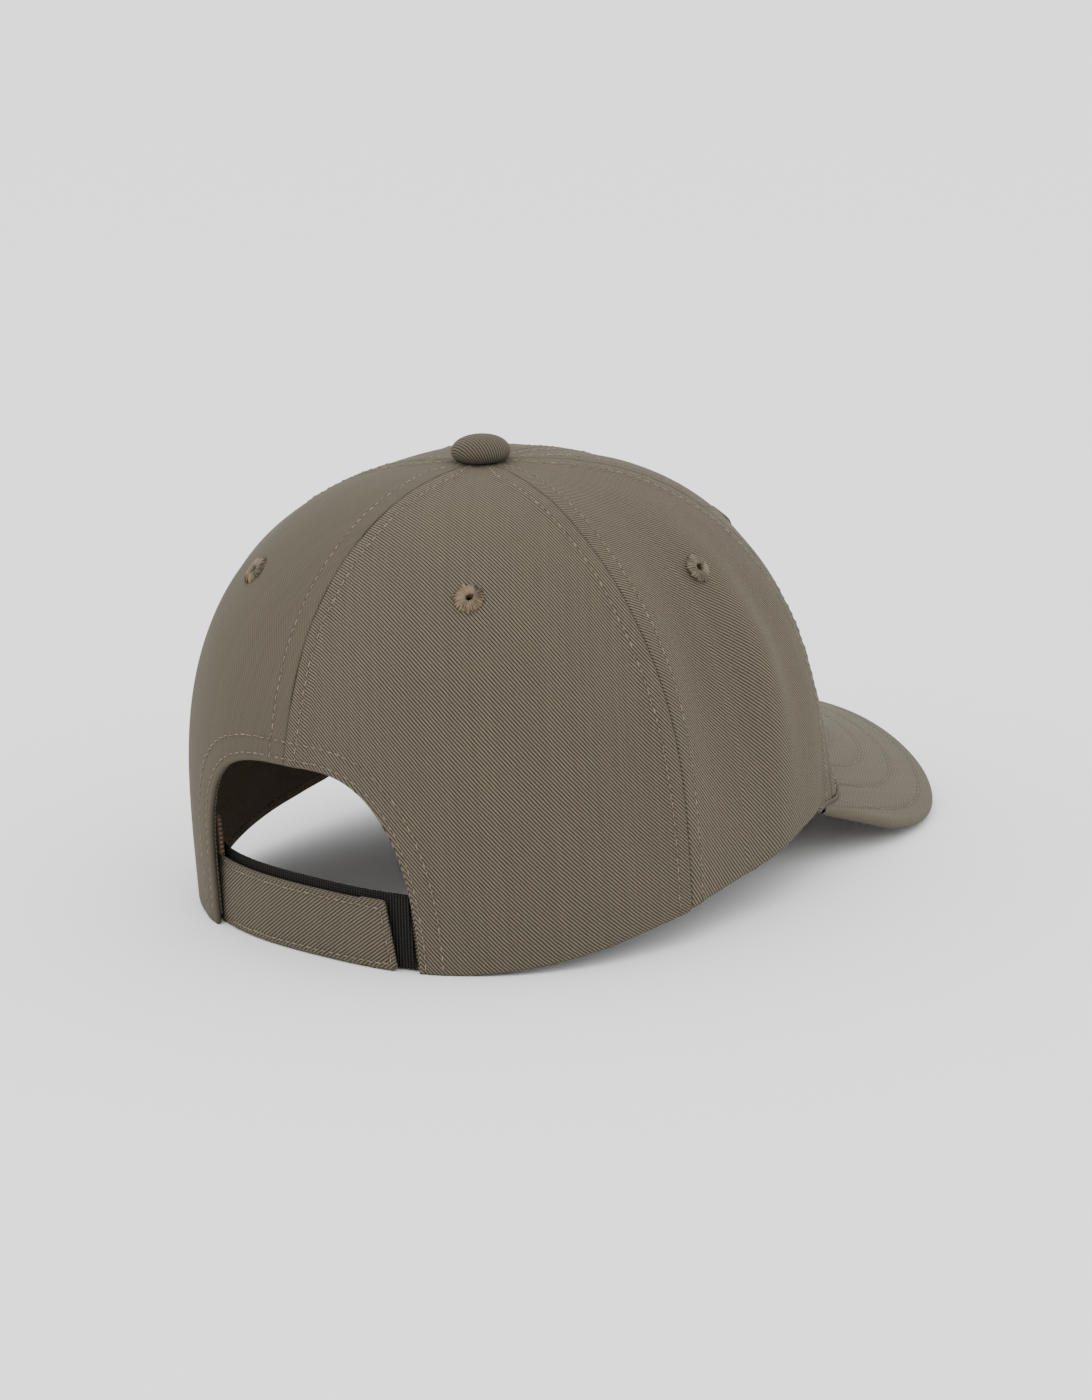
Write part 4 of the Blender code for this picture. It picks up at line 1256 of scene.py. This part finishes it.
def make_lining(first, kind, gore):
    """The stiff lining of a front panel."""
    rise = np.linspace(5 * MM, 0.80 * gore.up[-1], 70)
    t = np.interp(rise, gore.up, gore.t)
    width = np.interp(t, gore.t, gore.width)
    x = np.array([np.linspace(2.5 * MM, w - 2.5 * MM, 50) for w in width])
    phi = gore.phi(x, t)
    level = np.broadcast_to(t[:, None], x.shape)
    points = crown(phi, level, 1.75 * MM - loosen(phi, level) * 0.8)
    uv = np.stack([x, np.broadcast_to(rise[:, None], x.shape)], -1)
    table = np.concatenate([points.reshape(-1, 3), uv.reshape(-1, 2)], 1)
    centre = surface(*(np.array(value) for value in eyelet_place(first, PANELS[first])))
    from_hole = np.linalg.norm(table[:, :3] - centre, axis=1) - 4.1 * MM
    table, faces, _ = clipped(table, grid_faces(*x.shape), from_hole)
    lining = shown("buckram_woven_" + kind, table[:, :3], faces, table[:, 3:], material=stiffener,
                   replaces=("buckram_" + kind,), slot="buckram")
    thicken(lining, 0.4 * MM)


gores = [Gore(first) for first in range(6)]
panels = [make_panel(first, kind, gores[first]) for first, kind in enumerate(PANELS)]
sew("seam_stitching", seam_lines(gores), sewing, seed=3)
sew("arch_stitching", arch_lines(), sewing, seed=5)
make_facing()
for first, kind in enumerate(PANELS):
    make_eyelet(first, kind)
make_button()
make_visor_cloth()
sew("visor_stitching", visor_lines(), visor_thread, seed=7, lift=0.10 * MM)
sew("visor_under_stitching", visor_lines(True), visor_thread, seed=8, lift=0.10 * MM)
make_welt()
make_closure()
make_band()
tape_lines = seam_tape("tape_rear_right_woven", 1, 0.03, 0.93, 1.7 * MM, ("tape_rear_right",))
tape_lines += seam_tape("tape_rear_left_woven", 5, 0.03, 0.93, 1.7 * MM, ("tape_rear_left",))
tape_lines += seam_tape("tape_front_right_woven", 2, 0.03, 0.93, 2.6 * MM, ("tape_front_right",))
tape_lines += seam_tape("tape_front_left_woven", 4, 0.03, 0.93, 2.6 * MM, ("tape_front_left",))
tape_lines += make_centre_tape(2.6 * MM)
sew("tape_stitching", tape_lines, black_thread, slot="seam_tape", seed=9)
for first in (2, 3):
    make_lining(first, PANELS[first], gores[first])
for node, look in (("visor_board", board), ("button_shell", steel), ("button_washer", steel)):
    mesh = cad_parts[node].data
    mesh.materials.clear()
    mesh.materials.append(look)


# ---------------------------------------------------------------- camera, light and floor

SENSOR = 36.0                # millimetres
LENS = 180.234
AZIMUTH = math.radians(218.423)
ELEVATION = math.radians(15.739)
ROLL = math.radians(-1.8)
DISTANCE = 1.6878


def make_camera():
    right = Vector((math.cos(AZIMUTH), math.sin(AZIMUTH), 0.0))
    back = Vector((math.sin(AZIMUTH) * math.cos(ELEVATION), -math.cos(AZIMUTH) * math.cos(ELEVATION),
                   math.sin(ELEVATION)))
    up = back.cross(right)
    across = right * math.cos(ROLL) + up * math.sin(ROLL)
    upright = up * math.cos(ROLL) - right * math.sin(ROLL)
    target = right * 0.009 + Vector((0.0, Y_SHIFT, 0.0549))
    data = bpy.data.cameras.new("camera")
    data.sensor_fit = "HORIZONTAL"
    data.sensor_width = SENSOR
    data.lens = LENS
    data.clip_start = 0.05
    camera = bpy.data.objects.new("camera", data)
    bpy.context.scene.collection.objects.link(camera)
    turn = Matrix((across, upright, back)).transposed().to_4x4()
    camera.matrix_world = Matrix.Translation(target + back * DISTANCE) @ turn
    bpy.context.scene.camera = camera


def make_light(name, place, aim, size, power, colour=(1, 1, 1)):
    data = bpy.data.lights.new(name, "AREA")
    data.shape = "DISK"
    data.size = size
    data.energy = power
    data.color = colour
    light = bpy.data.objects.new(name, data)
    bpy.context.scene.collection.objects.link(light)
    turn = (Vector(place) - Vector(aim)).to_track_quat("Z", "Y").to_matrix().to_4x4()
    light.matrix_world = Matrix.Translation(place) @ turn


def make_studio():
    mesh = bpy.data.meshes.new("floor")
    size = 12.0
    corners = [(-size, -size, 0), (size, -size, 0), (size, size, 0), (-size, size, 0)]
    mesh.from_pydata(corners, [], [(0, 1, 2, 3)])
    floor = bpy.data.objects.new("floor", mesh)
    floor.location.z = -0.0002
    bpy.context.scene.collection.objects.link(floor)
    g = Graph("floor")
    mesh.materials.append(g.finish((0.83, 0.83, 0.83), 0.95, specular=0.1))
    world = bpy.data.worlds.new("studio")
    world.use_nodes = True
    world.node_tree.nodes["Background"].inputs[0].default_value = (1.0, 1.0, 1.0, 1.0)
    world.node_tree.nodes["Background"].inputs[1].default_value = 2.1
    bpy.context.scene.world = world
    make_light("key", (0.9, 1.6, 2.4), (0.0, 0.0, 0.05), 2.4, 12.0)
    make_light("top", (-0.6, 0.2, 2.6), (0.0, 0.0, 0.05), 2.6, 12.0)


make_camera()
make_studio()
